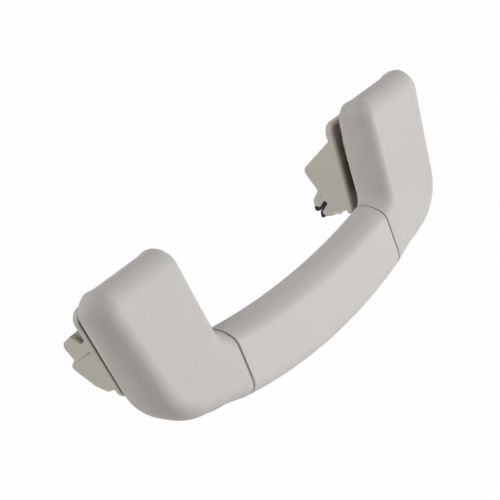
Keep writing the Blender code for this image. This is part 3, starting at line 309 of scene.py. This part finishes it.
class Nodes:
    """Short ways to add and link shader nodes."""

    def __init__(self, tree):
        self.tree = tree

    def add(self, kind, **values):
        node = self.tree.nodes.new("ShaderNode" + kind)
        for name, value in values.items():
            setattr(node, name, value)
        return node

    def put(self, socket, value):
        if isinstance(value, bpy.types.NodeSocket):
            self.tree.links.new(value, socket)
        else:
            socket.default_value = value

    def maths(self, operation, a, b=0.0, c=None):
        node = self.add("Math", operation=operation)
        self.put(node.inputs[0], a)
        self.put(node.inputs[1], b)
        if c is not None:
            self.put(node.inputs[2], c)
        return node.outputs[0]

    def noise(self, scale, detail, roughness, vector):
        node = self.add("TexNoise")
        node.inputs["Scale"].default_value = scale
        node.inputs["Detail"].default_value = detail
        node.inputs["Roughness"].default_value = roughness
        self.put(node.inputs["Vector"], vector)
        return node.outputs["Fac"]

    def ramp(self, value, low, high, out_low=0.0, out_high=1.0):
        node = self.add("MapRange")
        self.put(node.inputs["Value"], value)
        names = ("From Min", "From Max", "To Min", "To Max")
        for name, number in zip(names, (low, high, out_low, out_high)):
            node.inputs[name].default_value = number
        return node.outputs["Result"]

    def split(self, vector):
        node = self.add("SeparateXYZ")
        self.put(node.inputs[0], vector)
        return node.outputs

    def mix(self, factor, a, b):
        node = self.add("Mix", data_type="RGBA")
        self.put(node.inputs[0], factor)
        self.put(node.inputs[6], (*a, 1.0) if isinstance(a, tuple) else a)
        self.put(node.inputs[7], (*b, 1.0) if isinstance(b, tuple) else b)
        return node.outputs[2]

    def lay(self, base, mask, strength, colour):
        """A colour laid over the base where the mask is."""
        return self.mix(self.maths("MULTIPLY", mask, strength), base, colour)

    def mark(self, name, where, base, mask=None):
        """One entry of the marks and painted shade laid over the base, and only where the mask is if there is
        one.
        """
        place, reach, full, strength, colour = MARKS_AND_SHADE[name]
        gap = self.add("VectorMath", operation="DISTANCE")
        self.put(gap.inputs[0], where)
        gap.inputs[1].default_value = place
        cover = self.ramp(gap.outputs["Value"], reach, reach * full)
        if mask is not None:
            cover = self.maths("MULTIPLY", cover, mask)
        return self.lay(base, cover, strength, colour)

    def bump(self, shader, height, strength, depth):
        """Bump on a shader from a height, with its depth in metres."""
        node = self.add("Bump")
        node.inputs["Strength"].default_value = strength
        node.inputs["Distance"].default_value = depth
        self.put(node.inputs["Height"], height)
        self.put(shader.inputs["Normal"], node.outputs["Normal"])


def new_material(name):
    made = bpy.data.materials.new(name)
    made.use_nodes = True
    nodes = Nodes(made.node_tree)
    return made, nodes, made.node_tree.nodes["Principled BSDF"]


def scuffs(nodes, where, base):
    """Dirt and a speck on the right leg's top, a pale rub on the left leg, and faint drag marks."""
    fine = nodes.ramp(nodes.noise(*DIRT_SPOTS, where), 0.50, 0.58)
    broad = nodes.ramp(nodes.noise(*SMEARS, where), 0.50, 0.66)
    base = nodes.mark("dirt", where, base, fine)
    base = nodes.mark("smear", where, base, broad)
    base = nodes.mark("speck", where, base)
    base = nodes.mark("rub", where, base, broad)
    drawn = nodes.add("VectorMath", operation="MULTIPLY")
    nodes.put(drawn.inputs[0], where)
    drawn.inputs[1].default_value = DRAG_STRETCH
    streaks = nodes.ramp(nodes.noise(*STREAKS, drawn.outputs[0]), 0.35, 0.65, 0.0, DRAG_STRENGTH)
    return nodes.mix(streaks, base, DRAG_COLOUR)


def tray_shade_and_stains(nodes, where, base):
    """Painted shade on the tray's floor and in the left pocket, a painted reflection and painted shade on the
    outer
    rim, and smaller marks: a stain, a dot of painted shade and the pale stub.
    """
    signed_x, y, z = nodes.split(where)
    x = nodes.maths("ABSOLUTE", signed_x)
    facing_y = nodes.split(nodes.add("TexCoord").outputs["Normal"])[1]
    level = nodes.maths("COMPARE", y, TRAY_FLOOR, FLOOR_SPAN)
    rib = nodes.maths("COMPARE", y, TRAY_FLOOR - RIB_HEIGHT, RIB_SPAN)
    level = nodes.maths("MULTIPLY_ADD", rib, RIB_SHARE, level)
    level = nodes.maths("MULTIPLY", level, nodes.maths("LESS_THAN", facing_y, FACES_FRONT))
    # Painted shade on the tray's floor: darker towards the leg, fading towards the tray's ends
    ends = nodes.maths("MAXIMUM", nodes.ramp(z, *TRAY_SHADE_LOW_END), nodes.ramp(z, *TRAY_SHADE_HIGH_END))
    floor_shade = nodes.maths("MULTIPLY", nodes.ramp(x, *TRAY_SHADE_X), nodes.maths("SUBTRACT", 1.0, ends))
    floor_shade = nodes.maths("MULTIPLY", nodes.maths("MULTIPLY_ADD", floor_shade, *TRAY_SHADE_STRENGTH), level)
    base = nodes.mix(floor_shade, base, TRAY_SHADE_COLOUR)
    # Painted shade in the left bracket's pocket
    base = nodes.mark("pocket", where, base, nodes.ramp(x, *POCKET_SHADE_X))
    # Painted reflection, then painted shade, along the tray's outer rim
    for height, strength, colour in RIM_REFLECTION_AND_SHADE:
        edge = nodes.maths("MULTIPLY", nodes.ramp(y, *height), nodes.ramp(x, *RIM_X))
        base = nodes.lay(base, edge, strength, colour)
    base = nodes.mark("stain", where, base, level)
    # Painted shade: a near-black dot over a small notch that would otherwise catch light
    base = nodes.mark("dot", where, base)
    return nodes.mark("stub", where, base, nodes.ramp(z, *STUB_Z))


def moulded_plastic(name, colour, tint, grain=0.00045, depth=0.00005, roughness=0.55, marks=None):
    """Grained matt plastic: fine bump, faint clouds and specks in its colour, and the marks and painted
    shade, if any.
    """
    made, nodes, shader = new_material(name)
    where = nodes.add("TexCoord").outputs["Object"]
    base = nodes.mix(nodes.ramp(nodes.noise(*CLOUDS, where), 0.35, 0.65), colour, tint)
    specks = nodes.ramp(nodes.noise(*SPECKS, where), 0.35, 0.65, 0.0, SPECK_STRENGTH)
    base = nodes.mix(specks, base, tuple(c * SPECK_SHADE for c in colour))
    if marks:
        base = marks(nodes, where, base)
    nodes.put(shader.inputs["Base Color"], base)
    rough = (roughness - ROUGHNESS_SPREAD, roughness + ROUGHNESS_SPREAD)
    nodes.put(shader.inputs["Roughness"], nodes.ramp(nodes.noise(*GLOSS, where), 0.3, 0.7, *rough))
    shader.inputs["Specular IOR Level"].default_value = PLASTIC_SPECULAR
    pits = nodes.noise(1.0 / grain, 2.0, 0.55, where)
    height = nodes.maths("MULTIPLY_ADD", nodes.noise(*WAVES, where), WAVE_SHARE, pits)
    nodes.bump(shader, height, PLASTIC_BUMP, depth)
    return made


def metal(name, colour, roughness, metallic=1.0):
    """Steel, finely mottled in colour, gloss and bump."""
    made, nodes, shader = new_material(name)
    mottle = nodes.noise(*STEEL, nodes.add("TexCoord").outputs["Object"])
    dark = tuple(c * MOTTLE_SHADE for c in colour)
    nodes.put(shader.inputs["Base Color"], nodes.mix(mottle, colour, dark))
    rough = (roughness + change for change in STEEL_ROUGHNESS)
    nodes.put(shader.inputs["Roughness"], nodes.ramp(mottle, 0.2, 0.8, *rough))
    shader.inputs["Metallic"].default_value = metallic
    nodes.bump(shader, mottle, *STEEL_BUMP)
    return made


LOOKS = {
    "grip_plastic": moulded_plastic("grip_look", (0.650, 0.621, 0.592), (0.632, 0.601, 0.570)),
    "cap_plastic": moulded_plastic("cap_look", (0.626, 0.596, 0.570), (0.606, 0.574, 0.546), marks=scuffs),
    "bracket_plastic": moulded_plastic(
        "bracket_look", (0.692, 0.656, 0.586), (0.667, 0.628, 0.556), 0.0008, 0.00003, 0.5, tray_shade_and_stains
    ),
    "dark_spring_steel": metal("dark_steel_look", (0.030, 0.030, 0.032), 0.42, 0.8),
    "bright_steel": metal("bright_steel_look", (0.560, 0.560, 0.570), 0.30),
    "dark_plastic": moulded_plastic("dark_plastic_look", (0.035, 0.035, 0.037), (0.028, 0.028, 0.030)),
    "pale_plastic": moulded_plastic("pale_plastic_look", (0.700, 0.690, 0.650), (0.680, 0.668, 0.622)),
    "rubber": moulded_plastic(
        "rubber_look", (0.028, 0.028, 0.028), (0.020, 0.020, 0.020), 0.0006, 0.00006, 0.85
    ),
}


def smooth_by_angle(piece):
    """Welds a piece's facets and shades them smooth between its real edges."""
    weld = piece.modifiers.new("weld", "WELD")
    weld.merge_threshold = WELD
    tree = bpy.data.node_groups.get("smooth_by_angle")
    if tree is None:
        tree = bpy.data.node_groups.new("smooth_by_angle", "GeometryNodeTree")
        tree.interface.new_socket("Geometry", in_out="INPUT", socket_type="NodeSocketGeometry")
        tree.interface.new_socket("Geometry", in_out="OUTPUT", socket_type="NodeSocketGeometry")
        start = tree.nodes.new("NodeGroupInput")
        end = tree.nodes.new("NodeGroupOutput")
        faces = tree.nodes.new("GeometryNodeSetShadeSmooth")
        faces.domain = "FACE"
        edges = tree.nodes.new("GeometryNodeSetShadeSmooth")
        edges.domain = "EDGE"
        angle = tree.nodes.new("GeometryNodeInputMeshEdgeAngle")
        less = tree.nodes.new("FunctionNodeCompare")
        less.operation = "LESS_THAN"
        less.inputs[1].default_value = math.radians(SMOOTH_ANGLE)
        tree.links.new(angle.outputs[0], less.inputs[0])
        tree.links.new(start.outputs[0], faces.inputs["Geometry"])
        tree.links.new(faces.outputs[0], edges.inputs["Geometry"])
        tree.links.new(less.outputs[0], edges.inputs["Shade Smooth"])
        tree.links.new(edges.outputs[0], end.inputs[0])
    step = piece.modifiers.new("smooth", "NODES")
    step.node_group = tree
    normals = piece.modifiers.new("normals", "WEIGHTED_NORMAL")
    normals.keep_sharp = True
    normals.weight = NORMALS_WEIGHT


place_camera()

slots = {part["node"]: part["material_slot"] for part in frame["record"]["subparts"]}
for name, node in frame["nodes"].items():
    node.data.materials.clear()
    node.data.materials.append(LOOKS[slots[name]])
    smooth_by_angle(node)


# Handle form


def arc_corner(before, corner, after, radius, steps):
    """Points that round one corner of a flat line."""
    to_before = (before - corner).normalized()
    to_after = (after - corner).normalized()
    half = math.acos(max(-1.0, min(1.0, to_before.dot(to_after)))) / 2
    run = radius / math.tan(half)
    centre = corner + (to_before + to_after).normalized() * (radius / math.sin(half))
    start = corner + to_before * run - centre
    end = corner + to_after * run - centre
    turn = math.atan2(start.x * end.y - start.y * end.x, start.dot(end))
    first = math.atan2(start.y, start.x)
    angles = [first + turn * i / steps for i in range(steps + 1)]
    return [centre + Vector((math.cos(a), math.sin(a))) * radius for a in angles]


def between(start, end, steps):
    """The points that divide a straight line into steps, without its ends."""
    return [start.lerp(end, i / steps) for i in range(1, steps)]


def meet(p, d, q, e):
    """Where the line through p along d meets the line through q along e."""
    cross = d.x * e.y - d.y * e.x
    return p + d * (((q.x - p.x) * e.y - (q.y - p.y) * e.x) / cross)


def ease(value):
    """0 below 0 and 1 above 1, with a smooth step between."""
    value = max(0.0, min(1.0, value))
    return value * value * (3 - 2 * value)


def upper_edge(x):
    return GRIP_TOP + UPPER_ARCH * (x / OPENING_HALF) ** 2


def lower_edge(x):
    return GRIP_BOTTOM + LOWER_ARCH * (x / LEG_OUTER_LOW) ** 2


def upper_slope(x):
    return 2 * UPPER_ARCH * x / OPENING_HALF**2


def lower_slope(x):
    return 2 * LOWER_ARCH * x / LEG_OUTER_LOW**2


def upper_point(x, inset):
    """(x, z) inside the bar's upper edge, by the inset."""
    return Vector((x, upper_edge(x) - inset * math.sqrt(1 + upper_slope(x) ** 2)))


def lower_point(x, inset):
    """(x, z) inside the handle's lower edge, by the inset."""
    return Vector((x, lower_edge(x) + inset * math.sqrt(1 + lower_slope(x) ** 2)))


def front_face(z):
    """The front face's y, which leans with the height."""
    return LEG_BACK - LEG_DEPTH + FRONT_TILT * (z - (LEG_TOP - TILT_PIVOT_DROP))


def leg_path(insets, start, growth=0.0):
    """(x, z) points round the right leg, from the seam's upper edge to its lower edge.

    The insets are those of the inner side and the edge before it, the top, the outer side and the lower edge.
    The growth is added to the radius of the top's two corners.
    """
    inset, top_inset, outer_inset, low_inset = insets
    bar = Vector((1.0, upper_slope(OPENING_HALF)))
    inner_low = Vector((OPENING_HALF, upper_edge(OPENING_HALF)))
    inner = (Vector((OPENING_HALF_TOP, LEG_TOP)) - inner_low).normalized()
    inner_point = inner_low + Vector((inner.y, -inner.x)) * inset
    outer_top = Vector((LEG_OUTER_TOP, LEG_TOP))
    outer = (Vector((LEG_OUTER_LOW, LEG_TOP - LEG_HEIGHT)) - outer_top).normalized()
    outer_point = outer_top + Vector((outer.y, -outer.x)) * outer_inset
    level = Vector((1.0, 0.0))
    top_point = Vector((OPENING_HALF, LEG_TOP - top_inset))
    touch = LEG_OUTER_LOW - BOTTOM_CORNER_REACH * BOTTOM_CORNER_RADIUS
    low = Vector((1.0, lower_slope(touch)))
    a = meet(upper_point(OPENING_HALF, inset), bar, inner_point, inner)
    b = meet(inner_point, inner, top_point, level)
    c = meet(top_point, level, outer_point, outer)
    d = meet(outer_point, outer, lower_point(touch, low_inset), low)
    top_radius = max(TOP_CORNER_RADIUS + growth - outer_inset, SMALLEST_CORNER)
    low_radius = max(BOTTOM_CORNER_RADIUS - (outer_inset + low_inset) / 2, SMALLEST_CORNER)
    inner_arc = arc_corner(a - bar * FAR, a, b, INNER_CORNER_RADIUS + inset, INNER_CORNER_STEPS)
    first_arc = arc_corner(a, b, c, top_radius, TOP_CORNER_STEPS)
    second_arc = arc_corner(b, c, d, top_radius, TOP_CORNER_STEPS)
    low_arc = arc_corner(c, d, d - low * FAR, low_radius, LOW_CORNER_STEPS)
    run = inner_arc[0].x - start
    path = [upper_point(start + run * i / BAR_STEPS, inset) for i in range(BAR_STEPS)]
    path += inner_arc + between(inner_arc[-1], first_arc[0], INNER_SIDE_STEPS)
    path += first_arc + between(first_arc[-1], second_arc[0], TOP_STEPS)
    path += second_arc + between(second_arc[-1], low_arc[0], OUTER_SIDE_STEPS) + low_arc
    run = start - low_arc[-1].x
    path += [
        lower_point(low_arc[-1].x + run * i / LOW_EDGE_STEPS, low_inset) for i in range(1, LOW_EDGE_STEPS + 1)
    ]
    return path


def relief(x, y, z):
    """How far the leg's top edge drops at the back, where it swings past the bracket."""
    edge = BACK_EDGE_DROP * ease((z - LEG_TOP) / BACK_EDGE_RUN + 1.0)
    across_leg = ease((x - RELIEF_INNER) / RELIEF_EDGE + 0.5) * ease((RELIEF_OUTER - x) / RELIEF_EDGE + 0.5)
    depth = max(0.0, 1 - max(0.0, LEG_BACK - y) / RELIEF_RUN)
    scoop = RELIEF_DROP * across_leg * ease((z - LEG_TOP) / CORE_INSET + 2.0)
    return (edge + scoop) * depth**1.5


def top_lift(y, z):
    """How far the leg's top rises from its back edge to its front."""
    share = max(0.0, min(1.0, (LEG_BACK - y) / LEG_DEPTH))
    return TOP_RISE * share * ease((z - LEG_TOP) / TOP_RISE_RUN + 1.0)


def level_off(z):
    """Keeps the leg's risen top just under the solids' top, without a sharp bend."""
    over = z - LEG_TOP + TOP_SOFT
    return z if over < 0 else LEG_TOP - TOP_MARGIN - (TOP_SOFT - TOP_MARGIN) * math.exp(-over / TOP_SOFT)


def section_levels(inset):
    """Levels from back to front: the bar's two insets and y, the leg's four insets and y, and the end.

    The bar's y counts from its front face. The leg's counts from its back at the back end, and from its front
    face at the front end.
    """
    levels = []
    for i in range(BACK_STEPS):
        share = i / BACK_STEPS
        angle = math.radians(BACK_TURN * (1 - share))
        grip_inset = inset + BACK_RADIUS * (1 - math.cos(angle))
        grip_y = GRIP_THICKNESS - BACK_RADIUS * (1 - math.sin(angle))
        leg_inset = inset + BACK_DRAFT * (1 - share) ** 2
        levels.append(((grip_inset,) * 2, grip_y, (leg_inset,) * 4, share * DRAFT_RUN, "back"))
    for i in range(FRONT_STEPS + 1):
        angle = math.radians(90 * i / FRONT_STEPS)
        along = 1 - math.cos(angle)
        down = 1 - math.sin(angle)
        grip_insets, leg_insets = (
            tuple(inset + (fold - inset) * along for fold in folds)
            for folds in ((UPPER_FOLD, LOWER_FOLD), (INNER_FOLD, TOP_FOLD, OUTER_FOLD, BOTTOM_FOLD))
        )
        grip_y, leg_y = (inset + (roll - inset) * down for roll in (GRIP_ROLL, LEG_ROLL))
        levels.append((grip_insets, grip_y, leg_insets, leg_y, "front"))
    return levels


def leg_rings(inset, start):
    """Rings round the right leg from back to front, which change from the bar's section to the leg's."""
    base = leg_path((0.0,) * 4, start)
    rings = []
    for (upper, lower), grip_y, leg_insets, leg_y, end in section_levels(inset):
        growth = BACK_CORNER_GROWTH * (1 - leg_y / DRAFT_RUN) if end == "back" else 0.0
        ring = []
        sides = leg_path((upper, lower, lower, lower), start), leg_path(leg_insets, start, growth)
        for guide, bar, leg in zip(base, *sides):
            weight = ease((guide.x - SEAM) / SHAPE_CHANGE_LENGTH)
            point = bar.lerp(leg, weight)
            front = front_face(point.y)
            roll = LEG_ROLL * (1 + INNER_ROLL_GAIN * ease((INNER_ROLL_EDGE - guide.x) / INNER_ROLL_RUN))
            roll *= 1 - TOP_ROLL_CUT * ease((guide.y - LEG_TOP) / TOP_ROLL_RUN + 1.0)
            room = min(roll, LEG_BACK - front - DRAFT_RUN) / LEG_ROLL
            side_y = LEG_BACK - leg_y if end == "back" else front + leg_y * room
            y = front + grip_y + (side_y - front - grip_y) * weight
            lift = top_lift(y, point.y) * weight - relief(guide.x, y, guide.y)
            ring.append(Vector((point.x, max(y, FRONT_LIMIT), level_off(point.y + lift))))
        rings.append(ring)
    return rings


def grip_section(x):
    """The bar's closed section at x, down its upper half and back along its lower half."""
    closing = ((BACK_RADIUS,) * 2, GRIP_THICKNESS)
    top_side = []
    low_side = []
    for (upper, lower), grip_y, *_ in [closing, *section_levels(0.0)]:
        for side, z in ((top_side, upper_point(x, upper).y), (low_side, lower_point(x, lower).y)):
            side.append(Vector((x, max(front_face(z) + grip_y, FRONT_LIMIT), z)))
    return top_side + low_side[::-1]


# Pieces


def finished(name, shape, body, slot, replaced):
    """A named piece from a bmesh, with its material, body and the node that it stands for."""
    bmesh.ops.recalc_face_normals(shape, faces=shape.faces)
    mesh = bpy.data.meshes.new(name)
    shape.to_mesh(mesh)
    shape.free()
    mesh.materials.append(LOOKS[slot])
    piece = bpy.data.objects.new(name, mesh)
    bpy.context.scene.collection.objects.link(piece)
    if body:
        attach(piece, body)
    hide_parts(replaced)
    smooth_by_angle(piece)
    return piece


def soften(shape, edges, width, segments=3):
    """Rounds edges over the given width."""
    bmesh.ops.bevel(
        shape, geom=edges, offset=width, segments=segments, profile=0.5, affect="EDGES", clamp_overlap=True
    )


def soften_seam(shape, pairs):
    """Rounds the edges between pairs of vertices, where there is one, and leans the seams.

    The seams come closer to the middle towards the bar's lower edge.
    """
    edges = [shape.edges.get(pair) for pair in pairs]
    soften(shape, [e for e in edges if e], SEAM_EDGE)
    for vert in shape.verts:
        near_seam = ease(1 - abs(abs(vert.co.x) - SEAM) / (2 * SHAPE_CHANGE_LENGTH))
        drop = max(0.0, (SEAM_LEAN_TOP - vert.co.z) / SEAM_LEAN_RUN)
        vert.co.x -= math.copysign(SEAM_LEAN * drop * near_seam, vert.co.x)


def fill_holes(shape):
    bmesh.ops.holes_fill(shape, edges=[e for e in shape.edges if e.is_boundary])


def join_flat_faces(shape):
    limit = math.radians(FLAT_ANGLE)
    bmesh.ops.dissolve_limit(shape, angle_limit=limit, verts=shape.verts, edges=shape.edges)


def mirror(shape):
    bmesh.ops.scale(shape, vec=(-1.0, 1.0, 1.0), verts=shape.verts)
    bmesh.ops.reverse_faces(shape, faces=shape.faces)


def tube_solid(shape, low, high, inner, outer, place, steps=40):
    """A short tube along Y, added to a bmesh."""
    rings = []
    x, z = place
    angles = [2 * math.pi * i / steps for i in range(steps)]
    for y, radius in ((low, inner), (low, outer), (high, outer), (high, inner)):
        ring = [(x + radius * math.cos(a), y, z + radius * math.sin(a)) for a in angles]
        rings.append([shape.verts.new(p) for p in ring])
    for near, far in zip(rings, rings[1:] + rings[:1]):
        for i in range(steps):
            j = (i + 1) % steps
            shape.faces.new((near[i], near[j], far[j], far[i]))


def end_cap(side):
    """L-shaped shell over one leg with a screw boss, and edges softened at the seam and the open back."""
    start = CAP_STARTS[side]
    shape = bmesh.new()
    outer = [[shape.verts.new(p) for p in ring] for ring in leg_rings(0.0, start)]
    inner = [[shape.verts.new(p) for p in ring] for ring in leg_rings(CAP_WALL, start)]
    count = len(outer[0])
    for rings in (outer, inner):
        for near, far in zip(rings, rings[1:]):
            for i in range(count - 1):
                shape.faces.new((near[i], near[i + 1], far[i + 1], far[i]))
        shape.faces.new(rings[-1])
    for i in range(count - 1):
        shape.faces.new((outer[0][i], outer[0][i + 1], inner[0][i + 1], inner[0][i]))
    for i in (0, -1):
        for k in range(len(outer) - 1):
            shape.faces.new((outer[k][i], outer[k + 1][i], inner[k + 1][i], inner[k][i]))
    shape.faces.new((outer[-1][0], outer[-1][-1], inner[-1][-1], inner[-1][0]))
    seam_edges = [(outer[k][i], outer[k + 1][i]) for i in (0, -1) for k in range(len(outer) - 1)]
    seam_edges.append((outer[-1][0], outer[-1][-1]))
    rim_edges = [(outer[0][i], outer[0][i + 1]) for i in range(count - 1)]
    bmesh.ops.recalc_face_normals(shape, faces=shape.faces)
    soften_seam(shape, seam_edges + rim_edges)
    wall = front_face(LEG_MIDDLE[1]) + CAP_WALL
    tube_solid(shape, *(wall + reach for reach in BOSS_REACH), *BOSS_RADII, LEG_MIDDLE)
    if side == "left":
        mirror(shape)
    finished(side + "_cap", shape, "handle", "cap_plastic", side + "_end_cap")


def grip():
    """The bar between the seams with softened end edges, and the solid's arms inside the legs."""
    shape = bmesh.new()
    low, high = GRIP_ENDS
    rings = [
        [shape.verts.new(p) for p in grip_section(low + (high - low) * i / GRIP_STEPS)]
        for i in range(GRIP_STEPS + 1)
    ]
    size = len(rings[0])
    for near, far in zip(rings, rings[1:]):
        for i in range(size):
            j = (i + 1) % size
            shape.faces.new((near[i], near[j], far[j], far[i]))
    ends = (rings[0], rings[-1])
    for ring in ends:
        shape.faces.new(ring)
    bmesh.ops.recalc_face_normals(shape, faces=shape.faces)
    soften_seam(shape, [(ring[i], ring[(i + 1) % size]) for ring in ends for i in range(size)])
    arms = bmesh.new()
    arms.from_mesh(frame["nodes"]["grip_core"].data)
    bmesh.ops.remove_doubles(arms, verts=arms.verts, dist=WELD)
    inside = [f for f in arms.faces if all(abs(v.co.x) < SEAM + SAME_PLACE for v in f.verts)]
    bmesh.ops.delete(arms, geom=inside, context="FACES")
    rim = [e for e in arms.edges if e.is_boundary]
    made = bmesh.ops.extrude_edge_only(arms, edges=rim)["geom"]
    for vert in (v for v in made if isinstance(v, bmesh.types.BMVert)):
        vert.co.x -= math.copysign(ARM_ROOT, vert.co.x)
    fill_holes(arms)
    spare = bpy.data.meshes.new("arms")
    arms.to_mesh(spare)
    arms.free()
    shape.from_mesh(spare)
    bpy.data.meshes.remove(spare)
    finished("grip", shape, "handle", "grip_plastic", "grip_core")


def tidy_copy(node):
    """A CAD node's shape with its facets welded and its flat faces joined."""
    shape = bmesh.new()
    shape.from_mesh(frame["nodes"][node].data)
    bmesh.ops.remove_doubles(shape, verts=shape.verts, dist=WELD)
    join_flat_faces(shape)
    return shape


def block(shape, low, high):
    """A box between two corners, added to a bmesh."""
    corners = [
        shape.verts.new([(low, high)[(i >> axis) & 1][axis] for axis in range(3)]) for i in range(8)
    ]
    for face in ((0, 2, 3, 1), (4, 5, 7, 6), (0, 1, 5, 4), (2, 6, 7, 3), (0, 4, 6, 2), (1, 3, 7, 5)):
        shape.faces.new([corners[i] for i in face])


def in_hollow(face):
    """Whether a face lines one of the tray's hollows behind its floor."""
    return all(
        v.co.y > TRAY_FLOOR - SAME_PLACE and any(abs(abs(v.co.x) - x) < SAME_WALL for x in HOLLOWS)
        for v in face.verts
    )


def soften_nose(vert):
    """Moves a vertex at a nose's tip further from the tip's sharp corner, which makes the tip rounder."""
    for low, high, tip_y, tip_z, lean in NOSE_TIPS:
        y, z = vert.co.y - tip_y, vert.co.z - tip_z
        if low < abs(vert.co.x) < high and math.hypot(y, z) < NOSE_REACH:
            vert.co.y += (NOSE_SOFTENING - 1) * y
            vert.co.z += (NOSE_SOFTENING - 1) * z
            vert.co.x += math.copysign(lean * (NOSE_SOFTENING - 1) * z, vert.co.x)


def sharp_edges(shape, chosen):
    """The shape's sharp edges whose ends are chosen and lie away from the hinge."""
    return [
        e for e in shape.edges
        if len(e.link_faces) == 2
        and e.calc_face_angle() > math.radians(SHARP_ANGLE)
        and e.calc_length() > SHORTEST_EDGE
        and all(chosen(v) and math.hypot(v.co.y - HINGE_Y, v.co.z) > HINGE_CLEAR for v in e.verts)
    ]


def on_rim(vert):
    return abs(vert.co.y - RIM_FACE) < SAME_PLACE


def on_box(vert):
    """Whether a vertex lies on the box behind the tray, above the lips at its lower end."""
    return vert.co.y > BOX_START and (vert.co.y < LIPS_START or vert.co.z > LIPS_TOP)


def rim_side(edge):
    """Above 0 where the wall under an edge of the tray's rim faces away from the tray's middle."""
    wall = min(edge.link_faces, key=lambda face: abs(face.normal.y))
    middle = (edge.verts[0].co + edge.verts[1].co) / 2
    away = middle - Vector((math.copysign(LEG_MIDDLE[0], middle.x), middle.y, LEG_MIDDLE[1]))
    return wall.normal.dot(away)


def bracket(side):
    """The bracket with softened edges, a closed tray floor with a rib across it, and its gate stub."""
    shape = tidy_copy(side + "_bracket")
    bmesh.ops.delete(shape, geom=[f for f in shape.faces if in_hollow(f)], context="FACES")
    fill_holes(shape)
    join_flat_faces(shape)
    for vert in shape.verts:
        soften_nose(vert)
    soften(shape, [e for e in sharp_edges(shape, on_rim) if rim_side(e) > 0], RIM_OUTER_EDGE, 4)
    soften(shape, [e for e in sharp_edges(shape, on_rim) if rim_side(e) < 0], RIM_INNER_EDGE)
    soften(shape, sharp_edges(shape, on_box), BOX_EDGE)
    way = -1.0 if side == "left" else 1.0
    low, high = sorted(way * x for x in RIB_ENDS)
    front, root = TRAY_FLOOR - RIB_HEIGHT, TRAY_FLOOR + RIB_ROOT
    block(shape, (low, front, RIB_LEVEL), (high, root, RIB_LEVEL + RIB_WIDTH))
    x, y, z = STUB
    turn = Matrix.Translation((way * x, y, z)) @ Matrix.Rotation(math.radians(STUB_TILT), 4, "X")
    low_radius, high_radius = STUB_RADII
    bmesh.ops.create_cone(
        shape, cap_ends=True, segments=STUB_SIDES, radius1=low_radius, radius2=high_radius, depth=STUB_LENGTH,
        matrix=turn
    )
    finished(side + "_bracket_body", shape, "brackets", "bracket_plastic", side + "_bracket")


def spring():
    """The return spring, with its facets welded and its flat faces joined."""
    shape = tidy_copy("return_spring")
    piece = finished("wound_spring", shape, "", "dark_spring_steel", "return_spring")
    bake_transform(piece)


for cap_side in ("left", "right"):
    end_cap(cap_side)
    bracket(cap_side)
grip()
spring()


# Studio


def seen_directly(nodes):
    """1 for the camera's rays and those that a glossy or clear surface passes on, and 0 for the rest."""
    path = nodes.add("LightPath")
    seen = nodes.maths("MAXIMUM", path.outputs["Is Camera Ray"], path.outputs["Is Glossy Ray"])
    return nodes.maths("MAXIMUM", seen, path.outputs["Is Transmission Ray"])


def floor():
    """A pale floor, white where the camera sees it."""
    mesh = bpy.data.meshes.new("floor")
    corners = [(x * FLOOR_HALF, y * FLOOR_HALF, 0) for x, y in ((-1, -1), (1, -1), (1, 1), (-1, 1))]
    mesh.from_pydata(corners, [], [(0, 1, 2, 3)])
    made = bpy.data.objects.new("floor", mesh)
    bpy.context.scene.collection.objects.link(made)
    made.location.z = -FLOOR_DROP
    finish, nodes, shader = new_material("floor_look")
    shader.inputs["Base Color"].default_value = (0.80, 0.80, 0.80, 1.0)
    shader.inputs["Roughness"].default_value = 0.9
    glow = nodes.add("Emission")
    glow.inputs["Strength"].default_value = 1.0
    both = nodes.add("MixShader")
    nodes.put(both.inputs[0], nodes.maths("MULTIPLY", seen_directly(nodes), WHITE))
    nodes.put(both.inputs[1], shader.outputs[0])
    nodes.put(both.inputs[2], glow.outputs[0])
    nodes.put(finish.node_tree.nodes["Material Output"].inputs["Surface"], both.outputs[0])
    mesh.materials.append(finish)


def world():
    """A background that is white where the camera sees it and gives the handle a little even light."""
    made = bpy.data.worlds.new("studio")
    bpy.context.scene.world = made
    made.use_nodes = True
    nodes = Nodes(made.node_tree)
    back = made.node_tree.nodes["Background"]
    nodes.put(back.inputs["Strength"], nodes.maths("MULTIPLY_ADD", seen_directly(nodes), WHITE, FILL))
    back.inputs["Color"].default_value = (1.0, 1.0, 1.0, 1.0)


def lamp(name, direction, power, size):
    """A square soft lamp that looks at the handle from the given direction."""
    data = bpy.data.lights.new(name, "AREA")
    data.shape = "SQUARE"
    data.size = size
    data.energy = power
    made = bpy.data.objects.new(name, data)
    bpy.context.scene.collection.objects.link(made)
    away = Vector(direction).normalized()
    made.location = Vector(LAMP_TARGET) + away * LAMP_DISTANCE
    made.rotation_euler = (-away).to_track_quat("-Z", "Y").to_euler()


floor()
world()
for name, values in LAMPS.items():
    lamp(name, *values)
bpy.context.scene.view_settings.view_transform = "Standard"
